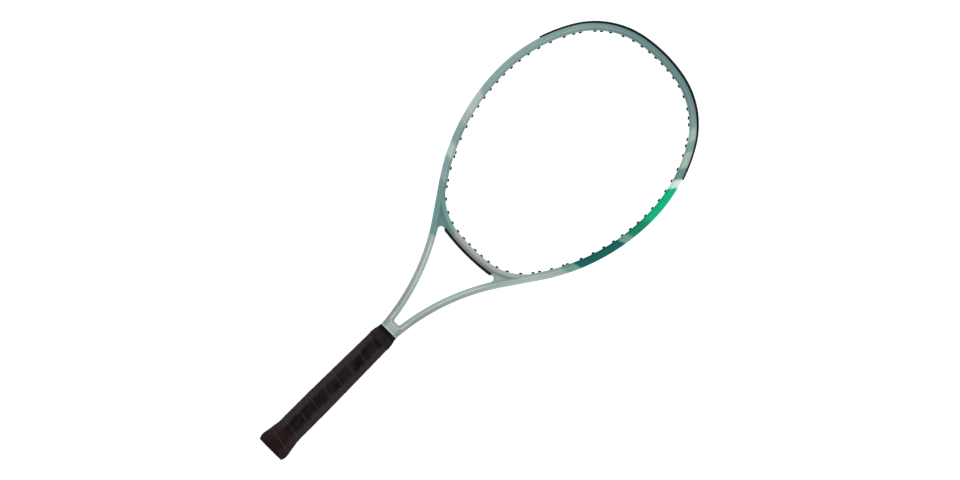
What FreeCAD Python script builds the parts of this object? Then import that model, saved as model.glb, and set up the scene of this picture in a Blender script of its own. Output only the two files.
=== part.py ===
import FreeCAD, Part
import math
import os

import Sketcher
from FreeCAD import Vector

# A full-length tennis racket frame, without strings, lying face up.
#
# +X runs along the handle from the butt end to the tip of the head, +Y is across the
# string plane and +Z is normal to it. The origin is the centre of the butt end face.
# Everything is in millimetres and symmetric about the XZ plane and, the badge and the
# tack apart, about the XY plane.
#
# "Inset" always means a distance from the outside of the bare hoop inwards, in plan.

DIMENSIONS = [
    # Plan shape of the hoop, the arms and the shaft
    ("overall_length", 685.8, "butt end to the outside of the bumper guard, 27 inches"),
    ("head_half_width", 133.1, "axis to the outside of the hoop at its widest"),
    ("crown_depth", 155.3, "tip of the hoop to its widest station"),
    ("crown_radius", 180.0, "outside of the hoop across the tip"),
    ("crown_half_span", 33.0, "axis to where the crown bend runs into the shoulder bend"),
    ("side_radius", 199.4, "outside of the hoop above its widest station"),
    ("lower_radius", 264.7, "outside of the hoop below its widest station"),
    ("arm_angle", 34.6, "degrees between a straight arm and the axis"),
    ("flare_radius", 279.8, "outside of an arm where it leaves the shaft"),
    ("shaft_half_width", 11.9, "axis to the outside of a leg in the handle"),
    ("head_width", 10.1, "tube width in plan, in the head"),
    ("arm_width", 9.1, "tube width in plan, in the arms"),
    ("string_length", 324.5, "clear length of the head opening"),
    ("bridge_radius", 268.0, "head side of the throat bridge"),
    ("bridge_width", 10.0, "throat bridge in plan"),
    ("bridge_head_gap", 12.0, "head opening's corner back to the joint of bridge and hoop"),
    ("bridge_root_gap", 3.5, "throat opening's corner on to the joint of bridge and hoop"),
    ("core_end_gap", 5.7, "throat opening's corner back to the end of the bridge's foam core"),
    ("head_corner_radius", 70.0, "head opening, between bridge and hoop"),
    ("throat_corner_radius", 4.5, "throat opening, between bridge and arm"),
    ("apex_from_flare", 34.4, "start of the flare to the apex of the throat opening"),
    ("apex_corner_radius", 2.0, "corners of the apex"),
    ("split_from_flare", 8.0, "start of the flare to the tip of the wedge"),
    ("leg_half_gap", 0.1, "half of the seam between the two legs"),
    # Section of the tube
    ("beam", 22.0, "thickness of the frame, across the string plane"),
    ("bevel", 3.4, "bevel along each edge of the tube"),
    ("wall", 1.4, "laminate thickness at the sides"),
    ("face_wall", 2.7, "laminate thickness over the ridges"),
    ("seat_depth", 1.0, "how far the legs are thinned under the pallets, each face"),
    # String groove, holes and grommets
    ("groove_width", 5.0, "groove round the outside of the hoop"),
    ("groove_depth", 1.6, "groove round the outside of the hoop"),
    ("groove_run_out", 6.0, "last string hole on to the groove's end"),
    ("hole_radius", 2.2, "string hole in the laminate"),
    ("hole_spacing", 5.0, "least distance between a main's hole and a cross's hole"),
    ("barrel_radius", 1.95, "grommet barrel"),
    ("string_bore_radius", 1.2, "bore of a grommet barrel"),
    ("barrel_stand_out", 1.8, "barrel end past the inside of the hoop"),
    ("fan", 0.2, "share of the way from square to the hoop that a hole turns to its string"),
    ("strip_clearance", 0.15, "between a grommet strip and its groove"),
    ("strip_recess", 0.5, "side strip below the outside of the hoop"),
    ("side_strip_end_gap", 1.2, "side strip's ends to the end of the groove and to the bumper guard"),
    ("bumper_thickness", 1.4, "bumper guard outside the hoop"),
    ("bumper_gap", 0.1, "between the bumper guard and the hoop"),
    ("bumper_reach", 92.0, "tip of the hoop back to the holes between which the guard ends"),
    ("throat_strip_thickness", 1.9, "grommet strip under the bridge"),
    ("throat_strip_end_gap", 2.7, "throat opening's corner back to the end of that strip"),
    ("throat_strip_height", 13.0, "grommet strip under the bridge"),
    # String pattern
    ("throat_main_offset", 4.9, "axis to the first main at the throat"),
    ("throat_main_pitch", 10.0, "first spacing of the mains at the throat"),
    ("throat_main_growth", 0.41, "growth of that spacing"),
    ("tip_main_offset", 5.4, "axis to the first main at the tip"),
    ("tip_main_pitch", 10.1, "first spacing of the mains at the tip"),
    ("tip_main_growth", 0.44, "growth of that spacing"),
    ("cross_pitch", 12.3, "spacing of the crosses at the middle"),
    ("cross_growth", 0.1, "growth of that spacing"),
    ("cross_centre", 169.2, "tip of the hoop to the middle cross"),
    # Handle: half widths are across the string plane's Y, half depths across its Z
    ("frame_start", 6.0, "butt end to the ends of the two legs"),
    ("cap_floor", 4.0, "butt end to the floor inside the cap"),
    ("rim_half_width", 18.6, "butt end face"),
    ("flare_half_width", 20.8, "widest part of the butt"),
    ("flare_station", 8.0, "butt end to the widest part"),
    ("grip_half_width", 17.0, "outside of the grip along the straight handle"),
    ("grip_half_depth", 14.9, "outside of the grip along the straight handle"),
    ("handle_straight_from", 32.0, "butt end to the start of the straight handle"),
    ("handle_straight_to", 82.0, "butt end to the start of the taper"),
    ("taper_half_width", 15.2, "outside of the grip at the end of the pallets"),
    ("taper_half_depth", 14.0, "outside of the grip at the end of the pallets"),
    ("neck_half_width", 14.35, "outside of the grip at its upper end"),
    ("neck_half_depth", 13.3, "outside of the grip at its upper end"),
    ("pallet_past_flare", 4.3, "start of the flare to the upper end of the pallets"),
    ("grip_past_flare", 11.3, "start of the flare to the upper end of the grip"),
    ("octagon_bevel_width", 8.0, "bevel flat of the octagon, along Y"),
    ("octagon_bevel_depth", 7.2, "bevel flat of the octagon, along Z"),
    ("taper_bevel_width", 4.4, "the same bevel at the end of the pallets, along Y"),
    ("taper_bevel_depth", 3.8, "the same bevel at the end of the pallets, along Z"),
    ("grip_thickness", 1.7, "base grip strip"),
    ("grip_start", 5.0, "butt end to the lower edge of the grip"),
    ("cap_wall", 1.6, "skirt of the butt cap"),
    ("skirt_end", 20.0, "butt end to the open end of the cap"),
    ("glue_gap", 0.1, "between two bonded handle pieces"),
    ("pallet_clearance", 0.3, "between the legs and the pallets, filled by tape"),
    ("tape_over_pallets", 0.2, "lower edge of the finishing tape before the pallets' end"),
    ("tape_run_down", 7.5, "grip's upper end to where the tape lies on the shaft"),
    ("tape_on_shaft", 2.5, "finishing tape, the part that lies on the shaft"),
    ("tape_thickness", 0.35, "finishing tape, all its turns"),
    ("badge_half_width", 12.5, "plate in the butt end"),
    ("badge_half_depth", 10.5, "plate in the butt end"),
    ("badge_thickness", 1.2, "plate in the butt end"),
    ("badge_bevel", 4.0, "corners of that plate"),
    ("staple_station", 14.0, "butt end to the staples"),
    ("staple_half_span", 4.0, "half of a staple's length"),
    ("staple_wire", 0.8, "thickness of a staple's wire"),
    ("staple_leg", 4.0, "length of a staple's legs"),
    ("staple_gap", 0.05, "between a staple and what it goes through"),
    ("tack_station", 13.0, "butt end to the tack"),
    ("tack_head_radius", 2.6, "head of the tack that starts the grip"),
    ("tack_head_thickness", 0.7, "head of the tack that starts the grip"),
    ("tack_pin_radius", 0.6, "pin of that tack"),
    ("tack_pin_length", 4.0, "pin of that tack"),
    ("plug_length", 30.0, "foam plug in the end of each leg"),
    ("plug_gap", 0.1, "between a plug and its leg"),
    ("weight_length", 60.0, "balance strip under the upper pallet"),
    ("weight_width", 12.0, "balance strip under the upper pallet"),
    ("weight_thickness", 0.5, "balance strip under the upper pallet"),
    ("weight_station", 60.0, "butt end to the balance strip"),
    ("bond_tape_width", 18.0, "double-sided tape between legs and pallets"),
]
MAINS_PER_SIDE = 8
CROSSES_EACH_WAY = 9
PAST = 5.0      # how far a cutting tool runs past what it cuts
SIDES = (("left", 1), ("right", -1))
FACES = (("upper", 1), ("lower", -1))

doc = FreeCAD.newDocument("tennis_racket")


def make_sheet():
    """The spreadsheet that holds every driving dimension, one row each."""
    table = doc.addObject("Spreadsheet::Sheet", "dims")
    for row, (alias, number, note) in enumerate(DIMENSIONS, start=1):
        table.set(f"A{row}", alias)
        table.set(f"B{row}", str(number))
        table.setAlias(f"B{row}", alias)
        table.set(f"C{row}", note)
    doc.recompute()
    return table


sheet = make_sheet()


def value(expression):
    """The number that an expression of the sheet's aliases comes to."""
    return float(sheet.evalExpression(expression))


def size(alias):
    """One driving dimension, read from the sheet."""
    return float(sheet.get(alias))


# ---------------------------------------------------------------- plan geometry


def left_of(heading):
    """Unit vector to the left of a heading, which is the outer side of the hoop."""
    return Vector(-math.sin(heading), math.cos(heading), 0)


def ahead_of(heading):
    """Unit vector along a heading."""
    return Vector(math.cos(heading), math.sin(heading), 0)


class Line:
    """A straight stretch of a plan outline."""

    def __init__(self, start, end):
        self.start = Vector(start)
        self.end = Vector(end)
        self.heading = math.atan2(end.y - start.y, end.x - start.x)

    def point(self, share):
        return self.start + (self.end - self.start) * share

    def heading_at(self, share):
        return self.heading

    def share_at_x(self, x):
        return (x - self.start.x) / (self.end.x - self.start.x)

    def share_at_y(self, y):
        return (y - self.start.y) / (self.end.y - self.start.y)

    def trimmed(self, share_from, share_to):
        return Line(self.point(share_from), self.point(share_to))

    def crossings(self, point, direction):
        """Distances along a ray to where it meets this stretch."""
        along = self.end - self.start
        offset = self.start - point
        slant = direction.x * along.y - direction.y * along.x
        if abs(slant) < 1e-9:
            return []
        travel = (offset.x * along.y - offset.y * along.x) / slant
        share = (offset.x * direction.y - offset.y * direction.x) / slant
        return [travel] if travel > 0 and 0 <= share <= 1 else []

    def curve(self, flip=1):
        return Part.LineSegment(flipped(self.start, flip), flipped(self.end, flip))


class Bend:
    """A round stretch. turn is 1 where the outer side is convex, -1 where it's hollow."""

    def __init__(self, centre, radius, turn, heading_from, heading_to):
        self.centre = Vector(centre)
        self.radius = radius
        self.turn = turn
        self.heading_from = heading_from
        self.heading_to = heading_to
        self.start = self.point(0)
        self.end = self.point(1)

    def heading_at(self, share):
        return self.heading_from + (self.heading_to - self.heading_from) * share

    def point(self, share):
        return self.centre + left_of(self.heading_at(share)) * self.radius * self.turn

    def share_of(self, heading):
        return (heading - self.heading_from) / (self.heading_to - self.heading_from)

    def share_at_x(self, x):
        sine = -self.turn * (x - self.centre.x) / self.radius
        return self.share_of(math.asin(max(-1.0, min(1.0, sine))))

    def share_at_y(self, y):
        cosine = self.turn * (y - self.centre.y) / self.radius
        turned = math.acos(max(-1.0, min(1.0, cosine)))
        if self.heading_from + self.heading_to < 0:
            turned = -turned
        return self.share_of(turned)

    def trimmed(self, share_from, share_to):
        first = self.heading_at(share_from)
        last = self.heading_at(share_to)
        return Bend(self.centre, self.radius, self.turn, first, last)

    def crossings(self, point, direction):
        """Distances along a ray to where it meets this stretch."""
        offset = point - self.centre
        half = offset.dot(direction)
        square = half ** 2 - offset.dot(offset) + self.radius ** 2
        found = []
        for sign in (-1, 1) if square > 0 else ():
            travel = -half + sign * math.sqrt(square)
            spoke = (offset + direction * travel) * self.turn
            share = self.share_of(math.atan2(-spoke.x, spoke.y))
            if travel > 0 and 0 <= share <= 1:
                found.append(travel)
        return found

    def curve(self, flip=1):
        angles = []
        for share in (0, 1):
            spoke = flipped(self.point(share) - self.centre, flip)
            angles.append(math.atan2(spoke.y, spoke.x))
        middle = flipped(self.point(0.5) - self.centre, flip)
        circle = Part.Circle(flipped(self.centre, flip), Vector(0, 0, 1), self.radius)
        first, last = angles
        sweep = (last - first) % (2 * math.pi)
        halfway = (math.atan2(middle.y, middle.x) - first) % (2 * math.pi)
        if halfway > sweep:
            first, last = last, first
        return Part.ArcOfCircle(circle, first, first + (last - first) % (2 * math.pi))


def flipped(point, flip):
    """A plan point, or its mirror image on the other side of the axis."""
    return Vector(point.x, point.y * flip, point.z)


def meeting_points(centre_a, radius_a, centre_b, radius_b):
    """Where two circles cross, the point further along +X first."""
    span = centre_b - centre_a
    length = span.Length
    along = (length ** 2 + radius_a ** 2 - radius_b ** 2) / (2 * length)
    across = math.sqrt(max(0.0, radius_a ** 2 - along ** 2))
    unit = span / length
    side = Vector(-unit.y, unit.x, 0)
    points = [centre_a + unit * along + side * across * sign for sign in (1, -1)]
    return sorted(points, key=lambda point: -point.x)


def heading_from_centre(centre, point):
    """Heading of travel at a point of a convex bend round a centre."""
    spoke = point - centre
    return math.atan2(-spoke.x, spoke.y)


TIP = size("overall_length") - size("bumper_thickness") - size("bumper_gap")
WIDEST = TIP - size("crown_depth")
ARM_ANGLE = math.radians(size("arm_angle"))


def hoop_centres():
    """Centres of the flare, lower, side and crown bends of the outside."""
    flare_radius = size("flare_radius")
    lower_radius = size("lower_radius")
    rise = size("head_half_width") - size("shaft_half_width")
    bend_rise = (flare_radius + lower_radius) * (1 - math.cos(ARM_ANGLE))
    straight = (rise - bend_rise) / math.sin(ARM_ANGLE)
    bends_run = (flare_radius + lower_radius) * math.sin(ARM_ANGLE)
    flare_start = WIDEST - bends_run - straight * math.cos(ARM_ANGLE)
    flare = Vector(flare_start, size("shaft_half_width") + flare_radius, 0)
    lower = Vector(WIDEST, size("head_half_width") - lower_radius, 0)
    side = Vector(WIDEST, size("head_half_width") - size("side_radius"), 0)
    crown = Vector(TIP - size("crown_radius"), 0, 0)
    return flare, lower, side, crown


def shoulder_bend():
    """Centre and radius of the bend that joins the side bend to the end of the crown."""
    outward = ahead_of(math.asin(size("crown_half_span") / size("crown_radius")))
    crown_end = CROWN + outward * size("crown_radius")
    side_radius = size("side_radius")
    offset = crown_end - SIDE
    radius = (side_radius ** 2 - offset.dot(offset)) / (side_radius - offset.dot(outward)) / 2
    return crown_end - outward * radius, radius


FLARE, LOWER, SIDE, CROWN = hoop_centres()
SHOULDER, SHOULDER_RADIUS = shoulder_bend()
FLARE_START = FLARE.x
APEX = FLARE_START + size("apex_from_flare")
SPLIT = FLARE_START + size("split_from_flare")
# Places of the stretches in the list that hoop_side gives
LEG_RUN, FLARE_BEND, ARM_RUN, LOWER_BEND, SIDE_BEND, SHOULDER_BEND, CROWN_BEND = range(7)


def hoop_side(arm_inset, head_inset, start=0.0):
    """Half of the hairpin at an inset, from a station of the leg to the tip.

    The arm's straight run is the inner tangent of the flare and the lower bend, so the
    tube may be wider in the head than in the arms and still change smoothly.
    """
    flare_radius = size("flare_radius") + arm_inset
    lower_radius = size("lower_radius") - head_inset
    span = LOWER - FLARE
    slope = math.atan2(span.y, span.x)
    heading = slope + math.asin((flare_radius + lower_radius) / span.Length)
    to_shoulder = heading_from_centre(SIDE, SHOULDER)
    to_crown = heading_from_centre(CROWN, SHOULDER)
    leg_y = size("shaft_half_width") - arm_inset
    flare = Bend(FLARE, flare_radius, -1, 0, heading)
    lower = Bend(LOWER, lower_radius, 1, heading, 0)
    return [
        Line(Vector(start, leg_y, 0), Vector(FLARE_START, leg_y, 0)),
        flare,
        Line(flare.end, lower.start),
        lower,
        Bend(SIDE, size("side_radius") - head_inset, 1, 0, to_shoulder),
        Bend(SHOULDER, SHOULDER_RADIUS - head_inset, 1, to_shoulder, to_crown),
        Bend(CROWN, size("crown_radius") - head_inset, 1, to_crown, -math.pi / 2),
    ]


def place_at_x(run, x):
    """Index and share of the stretch of a hairpin side that passes a station."""
    for index, stretch in enumerate(run):
        if min(stretch.start.x, stretch.end.x) <= x <= max(stretch.start.x, stretch.end.x):
            return index, stretch.share_at_x(x)
    raise ValueError(f"no stretch of the hoop passes x = {x}")


def place_at_y(run, y, indices):
    """Index and share of the stretch, of those given, that a distance from the axis meets."""
    for index in indices:
        stretch = run[index]
        if min(stretch.start.y, stretch.end.y) <= y <= max(stretch.start.y, stretch.end.y):
            return index, stretch.share_at_y(y)
    raise ValueError(f"no stretch of the hoop is {y} from the axis")


def stretch_between(run, place_from, place_to):
    """The stretches of a hairpin side from one place to another."""
    first, share_from = place_from
    last, share_to = place_to
    kept = []
    for index in range(first, last + 1):
        start = share_from if index == first else 0.0
        end = share_to if index == last else 1.0
        kept.append(run[index].trimmed(start, end))
    return kept


TO_TIP = (CROWN_BEND, 1.0)


def curves_both_sides(stretches):
    """Sketch geometry of the stretches and of their mirror images."""
    return [stretch.curve(flip) for flip in (1, -1) for stretch in stretches]


def ring_over_tip(inset_out, inset_in, place):
    """Closed plan outline of a band over the tip, cut square at a place on each side."""
    outside = stretch_between(hoop_side(inset_out, inset_out), place, TO_TIP)
    inside = stretch_between(hoop_side(inset_in, inset_in), place, TO_TIP)
    end = Line(outside[0].start, inside[0].start)
    return curves_both_sides(outside + inside + [end])


def ring_one_side(inset_out, inset_in, place_from, place_to, flip):
    """Closed plan outline of a band along one side of the hoop."""
    outside = stretch_between(hoop_side(inset_out, inset_out), place_from, place_to)
    inside = stretch_between(hoop_side(inset_in, inset_in), place_from, place_to)
    ends = [Line(outside[0].start, inside[0].start), Line(outside[-1].end, inside[-1].end)]
    return [stretch.curve(flip) for stretch in outside + inside + ends]


# ---------------------------------------------------------------- throat bridge

BRIDGE_TOP = TIP - size("head_width") - size("string_length")
BRIDGE_CENTRE = Vector(BRIDGE_TOP + size("bridge_radius"), 0, 0)


def axis_bend(centre, radius, towards):
    """Arc of a circle centred on the axis, from the axis on the butt side to a point."""
    spoke = towards - centre
    turned = math.atan2(spoke.y, -spoke.x)
    return Bend(centre, radius, 1, math.pi / 2, math.pi / 2 - turned)


def bend_between(centre, radius, start, end, turn=1):
    """Bend round a centre between two of its points, given in the order of travel."""
    headings = []
    for point in (start, end):
        heading = heading_from_centre(centre, point)
        if turn < 0:
            heading += math.pi
        headings.append(heading)
    first, last = headings
    while last - first > math.pi:
        last -= 2 * math.pi
    while last - first < -math.pi:
        last += 2 * math.pi
    return Bend(centre, radius, turn, first, last)


def head_corner_centre(stretch):
    """Centre of the head opening's corner where it touches a stretch of the hoop's inside."""
    corner_radius = size("head_corner_radius")
    from_bridge = size("bridge_radius") - corner_radius
    if isinstance(stretch, Bend):
        return meeting_points(stretch.centre, stretch.radius - corner_radius,
                              BRIDGE_CENTRE, from_bridge)[1]
    along = ahead_of(stretch.heading)
    base = stretch.start - left_of(stretch.heading) * corner_radius
    offset = base - BRIDGE_CENTRE
    half = offset.dot(along)
    travel = -half - math.sqrt(max(0.0, half ** 2 - offset.dot(offset) + from_bridge ** 2))
    return base + along * travel


def head_opening_side():
    """Half of the head opening: bridge, corner and inside of the hoop up to the tip."""
    run = hoop_side(size("arm_width"), size("head_width"))
    corner_radius = size("head_corner_radius")
    for index in (ARM_RUN, LOWER_BEND):
        stretch = run[index]
        corner_centre = head_corner_centre(stretch)
        if isinstance(stretch, Bend):
            share = stretch.share_of(heading_from_centre(stretch.centre, corner_centre))
        else:
            touch = corner_centre + left_of(stretch.heading) * corner_radius
            share = stretch.share_at_x(touch.x)
        if share < 1:
            break
    rest = stretch.trimmed(share, 1.0)
    outward = (corner_centre - BRIDGE_CENTRE).normalize()
    on_bridge = BRIDGE_CENTRE + outward * size("bridge_radius")
    bridge = axis_bend(BRIDGE_CENTRE, size("bridge_radius"), on_bridge)
    corner = bend_between(corner_centre, corner_radius, on_bridge, rest.start)
    return [bridge, corner, rest] + run[index + 1:]


def throat_opening_side():
    """Half of the throat opening, from the apex along the arm to the bridge."""
    flare_radius = size("flare_radius") + size("arm_width")
    apex_radius = size("apex_corner_radius")
    apex_x = APEX + apex_radius
    drop = math.sqrt((flare_radius + apex_radius) ** 2 - (apex_x - FLARE.x) ** 2)
    apex_centre = Vector(apex_x, FLARE.y - drop, 0)
    apex_start = apex_centre - Vector(apex_radius, 0, 0)
    on_flare = FLARE + (apex_centre - FLARE).normalize() * flare_radius
    corner_radius = size("throat_corner_radius")
    bridge_radius = size("bridge_radius") + size("bridge_width")
    corner_centre = meeting_points(
        FLARE, flare_radius + corner_radius,
        BRIDGE_CENTRE, bridge_radius + corner_radius)[1]
    flare_end = FLARE + (corner_centre - FLARE).normalize() * flare_radius
    on_bridge = BRIDGE_CENTRE + (corner_centre - BRIDGE_CENTRE).normalize() * bridge_radius
    return [
        Line(Vector(APEX, 0, 0), apex_start),
        bend_between(apex_centre, apex_radius, apex_start, on_flare),
        bend_between(FLARE, flare_radius, on_flare, flare_end, turn=-1),
        bend_between(corner_centre, corner_radius, flare_end, on_bridge),
        axis_bend(BRIDGE_CENTRE, bridge_radius, on_bridge),
    ]


# ---------------------------------------------------------------- feature helpers


def origin_plane(body, role):
    """One of a body's own origin planes."""
    return next(item for item in body.Origin.OriginFeatures if item.Role == role)


def new_body(name):
    return doc.addObject("PartDesign::Body", name)


def plan_sketch(body, name, curves):
    """Sketch in the string plane that holds a worked-out closed outline."""
    sketch = body.newObject("Sketcher::SketchObject", name)
    sketch.AttachmentSupport = [(origin_plane(body, "XY_Plane"), "")]
    sketch.MapMode = "FlatFace"
    sketch.addGeometry(curves, False)
    return sketch


def pin_corner(sketch, index, corner):
    """Fix a line's first point at a pair of expressions, measured from the origin."""
    directions = (("DistanceX", -2), ("DistanceY", -1))
    for (kind, axis), expression in zip(directions, corner):
        distance = value(expression)
        if abs(distance) < 1e-9:
            sketch.addConstraint(Sketcher.Constraint("PointOnObject", index, 1, axis))
            continue
        ends = (-1, 1, index, 1) if distance > 0 else (index, 1, -1, 1)
        sign = "" if distance > 0 else "-1 * "
        made = sketch.addConstraint(Sketcher.Constraint(kind, *ends, abs(distance)))
        sketch.setExpression(f"Constraints[{made}]", f"{sign}({expression})")


def polygon_sketch(body, name, corners, station=None, plane="YZ_Plane"):
    """Closed polygon whose corners are pairs of expressions, at a station along X."""
    sketch = body.newObject("Sketcher::SketchObject", name)
    sketch.AttachmentSupport = [(origin_plane(body, plane), "")]
    sketch.MapMode = "FlatFace"
    points = [Vector(value(across), value(up), 0) for across, up in corners]
    count = len(points)
    for index, point in enumerate(points):
        sketch.addGeometry(Part.LineSegment(point, points[(index + 1) % count]), False)
    for index in range(count):
        following = (index + 1) % count
        sketch.addConstraint(Sketcher.Constraint("Coincident", index, 2, following, 1))
    for index, corner in enumerate(corners):
        pin_corner(sketch, index, corner)
    if station is not None:
        sketch.setExpression("AttachmentOffset.Base.z", station)
    return sketch


def octagon(half_width, half_depth, bevel_width, bevel_depth):
    """Corners of an eight-sided section, as expressions of its half sizes and bevels."""
    flat_y = f"({half_width} - {bevel_width})"
    flat_z = f"({half_depth} - {bevel_depth})"
    quarter = ((half_width, flat_z), (flat_y, half_depth))
    corners = []
    for sign_y, sign_z in ((1, 1), (-1, 1), (-1, -1), (1, -1)):
        pair = quarter if sign_y * sign_z > 0 else quarter[::-1]
        for across, up in pair:
            corners.append((f"{sign_y} * {across}", f"{sign_z} * {up}"))
    return corners


def pad(body, sketch, length, name):
    """Pad a plan sketch both ways about the string plane."""
    feature = body.newObject("PartDesign::Pad", name)
    feature.Profile = sketch
    feature.Midplane = True
    feature.setExpression("Length", length)
    return feature


def pocket(body, sketch, length, name):
    """Cut a plan sketch both ways about the string plane."""
    feature = body.newObject("PartDesign::Pocket", name)
    feature.Profile = sketch
    feature.Midplane = True
    feature.setExpression("Length", length)
    return feature


def loft(body, kind, sections, name):
    """Ruled loft through sections, added to or taken from a body."""
    feature = body.newObject(f"PartDesign::{kind}", name)
    feature.Profile = sections[0]
    feature.Sections = sections[1:]
    feature.Ruled = True
    return feature


def box(name, low, high):
    """Part::Box between two corners, each given as three expressions."""
    feature = doc.addObject("Part::Box", name)
    for axis, edge, low_at, high_at in zip("xyz", ("Length", "Width", "Height"), low, high):
        feature.setExpression(f"Placement.Base.{axis}", low_at)
        feature.setExpression(edge, f"({high_at}) - ({low_at})")
    return feature


def solids_feature(name, shapes):
    """Part::Feature that holds several worked-out solids."""
    feature = doc.addObject("Part::Feature", name)
    feature.Shape = Part.makeCompound(shapes)
    return feature


def boolean(kind, name, base, tool):
    feature = doc.addObject(f"Part::{kind}", name)
    feature.Base = base
    feature.Tool = tool
    return feature


def fuse_all(name, pieces):
    feature = doc.addObject("Part::MultiFuse", name)
    feature.Shapes = pieces
    return feature


# ---------------------------------------------------------------- string pattern


class StringHole:
    """One string hole: where it leaves the inside of the hoop and which way it runs."""

    def __init__(self, point, outward, depth):
        self.point = point
        self.outward = outward
        self.depth = depth      # from the inside to the floor of the groove

    def rod(self, radius, inner, outer):
        """Cylinder along the hole, from inner to outer measured from the inside."""
        base = self.point + self.outward * inner
        return Part.makeCylinder(radius, outer - inner, base, self.outward)

    def exit(self):
        return self.point + self.outward * self.depth

    def gap_to(self, other):
        """Least distance between the middles of two holes, inside the hoop or in its groove."""
        inside = (self.point - other.point).Length
        return min(inside, (self.exit() - other.exit()).Length)

    def mirrored(self, flip):
        return StringHole(flipped(self.point, flip), flipped(self.outward, flip), self.depth)


def reach(point, direction, run):
    """Distance along a ray to the first stretch of a run that it meets."""
    return min(travel for stretch in run for travel in stretch.crossings(point, direction))


def hoop_hole(point, hoop_heading, string_heading):
    """Hole through the hoop, turned part of the way from square to its string."""
    square = hoop_heading + math.pi / 2
    outward = ahead_of(square + (string_heading - square) * size("fan"))
    return StringHole(point, outward, reach(point, outward, GROOVE_FLOOR))


def main_positions(where):
    """Distances of the main strings from the axis, at the throat or at the tip."""
    first = size(f"{where}_main_offset")
    pitch = size(f"{where}_main_pitch")
    growth = size(f"{where}_main_growth")
    return [first + pitch * i + growth * i * i for i in range(MAINS_PER_SIDE)]


def cross_positions():
    """Stations of the cross strings above and below the middle one."""
    middle = TIP - size("cross_centre")
    stations = []
    for step in range(-CROSSES_EACH_WAY, CROSSES_EACH_WAY + 1):
        count = abs(step)
        growth = size("cross_growth") * count * (4 * count * count - 1) / 12
        offset = size("cross_pitch") * count + growth
        stations.append(middle + math.copysign(offset, step))
    return stations


HOOP_INSIDE = hoop_side(size("arm_width"), size("head_width"))
HEAD_OPENING = head_opening_side()
THROAT_OPENING = throat_opening_side()
GROOVE_FLOOR = hoop_side(size("groove_depth"), size("groove_depth"))
HOOP_FROM = 2       # place in the head opening's list where the hoop's own inside starts
BRIDGE_HALF_SPAN = THROAT_OPENING[-1].end.y
THROAT_STRIP_HALF_SPAN = BRIDGE_HALF_SPAN - size("throat_strip_end_gap")
CORE_HALF_SPAN = BRIDGE_HALF_SPAN - size("core_end_gap")


def cross_holes():
    """Holes of the left side for the crosses."""
    holes = []
    for x in cross_positions():
        index, share = place_at_x(HOOP_INSIDE, x)
        stretch = HOOP_INSIDE[index]
        holes.append(hoop_hole(stretch.point(share), stretch.heading_at(share), math.pi / 2))
    return holes


CROSS_HOLES = cross_holes()


def main_hole(place, string_heading):
    """Hole through the hoop from a place on the edge of the head opening."""
    index, share = place
    on_hoop = index >= HOOP_FROM
    heading = HEAD_OPENING[max(index, HOOP_FROM)].heading_at(share if on_hoop else 0.0)
    return hoop_hole(HEAD_OPENING[index].point(share), heading, string_heading)


def clear_main_hole(place, string_heading):
    """The same hole, slid along the edge where a cross's hole would be too close."""
    slide_step = 0.25
    hole = main_hole(place, string_heading)
    start = hole.point.x
    along = math.cos(HEAD_OPENING[place[0]].heading_at(place[1]))
    slide = 0.0
    while min(hole.gap_to(cross) for cross in CROSS_HOLES) < size("hole_spacing"):
        slide = -slide if slide > 0 else slide_step - slide
        hole = main_hole(place_at_x(HEAD_OPENING, start + slide * along), string_heading)
    return hole


def tip_end_holes():
    """Holes of the left side for the tip ends of the mains."""
    count = len(HEAD_OPENING)
    above_widest = range(count - 3, count)
    return [clear_main_hole(place_at_y(HEAD_OPENING, y, above_widest), 0.0)
            for y in main_positions("tip")]


def throat_end_holes():
    """Holes of the left side for the throat ends of the mains: (through hoop, through bridge)."""
    through_hoop = []
    through_bridge = []
    for y in main_positions("throat"):
        place = place_at_y(HEAD_OPENING, y, range(len(HEAD_OPENING)))
        if y < THROAT_STRIP_HALF_SPAN:
            point = HEAD_OPENING[place[0]].point(place[1])
            straight = Vector(-1, 0, 0)
            depth = reach(point, straight, THROAT_OPENING[-1:])
            through_bridge.append(StringHole(point, straight, depth))
        else:
            through_hoop.append(clear_main_hole(place, math.pi))
    return through_hoop, through_bridge


def share_out_holes():
    """Holes of the left side, and the stations where the guard and the groove end.

    The holes come in three lists: under the bumper guard, under the side strip and in
    the bridge. The guard ends halfway between two holes.
    """
    through_hoop, through_bridge = throat_end_holes()
    hoop_holes = CROSS_HOLES + tip_end_holes() + through_hoop
    exits = [hole.exit().x for hole in hoop_holes]
    wanted = TIP - size("bumper_reach")
    guard_end = (min(x for x in exits if x > wanted) + max(x for x in exits if x <= wanted)) / 2
    under_guard = [hole for hole in hoop_holes if hole.exit().x > guard_end]
    under_strip = [hole for hole in hoop_holes if hole.exit().x <= guard_end]
    groove_end = min(exits) - size("groove_run_out")
    return (under_guard, under_strip, through_bridge), guard_end, groove_end


(TIP_HOLES, SIDE_HOLES, BRIDGE_HOLES), GUARD_END, GROOVE_END = share_out_holes()
BUMPER_PLACE = place_at_x(hoop_side(0, 0), GUARD_END)
GROOVE_PLACE = place_at_x(hoop_side(0, 0), GROOVE_END)


def both_sides(holes):
    return [hole.mirrored(flip) for flip in (1, -1) for hole in holes]


def drilled_holes():
    """Clearance holes for every grommet barrel."""
    radius = size("hole_radius")
    holes = both_sides(TIP_HOLES + SIDE_HOLES + BRIDGE_HOLES)
    return [hole.rod(radius, -PAST, hole.depth + PAST) for hole in holes]


def barrels(holes, run_past):
    """Solid barrels from the strip to just inside the hoop."""
    stand_out = size("barrel_stand_out")
    radius = size("barrel_radius")
    return [hole.rod(radius, -stand_out, hole.depth + run_past) for hole in holes]


def string_bores(holes):
    radius = size("string_bore_radius")
    return [hole.rod(radius, -PAST, hole.depth + PAST) for hole in holes]


# ---------------------------------------------------------------- frame


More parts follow.
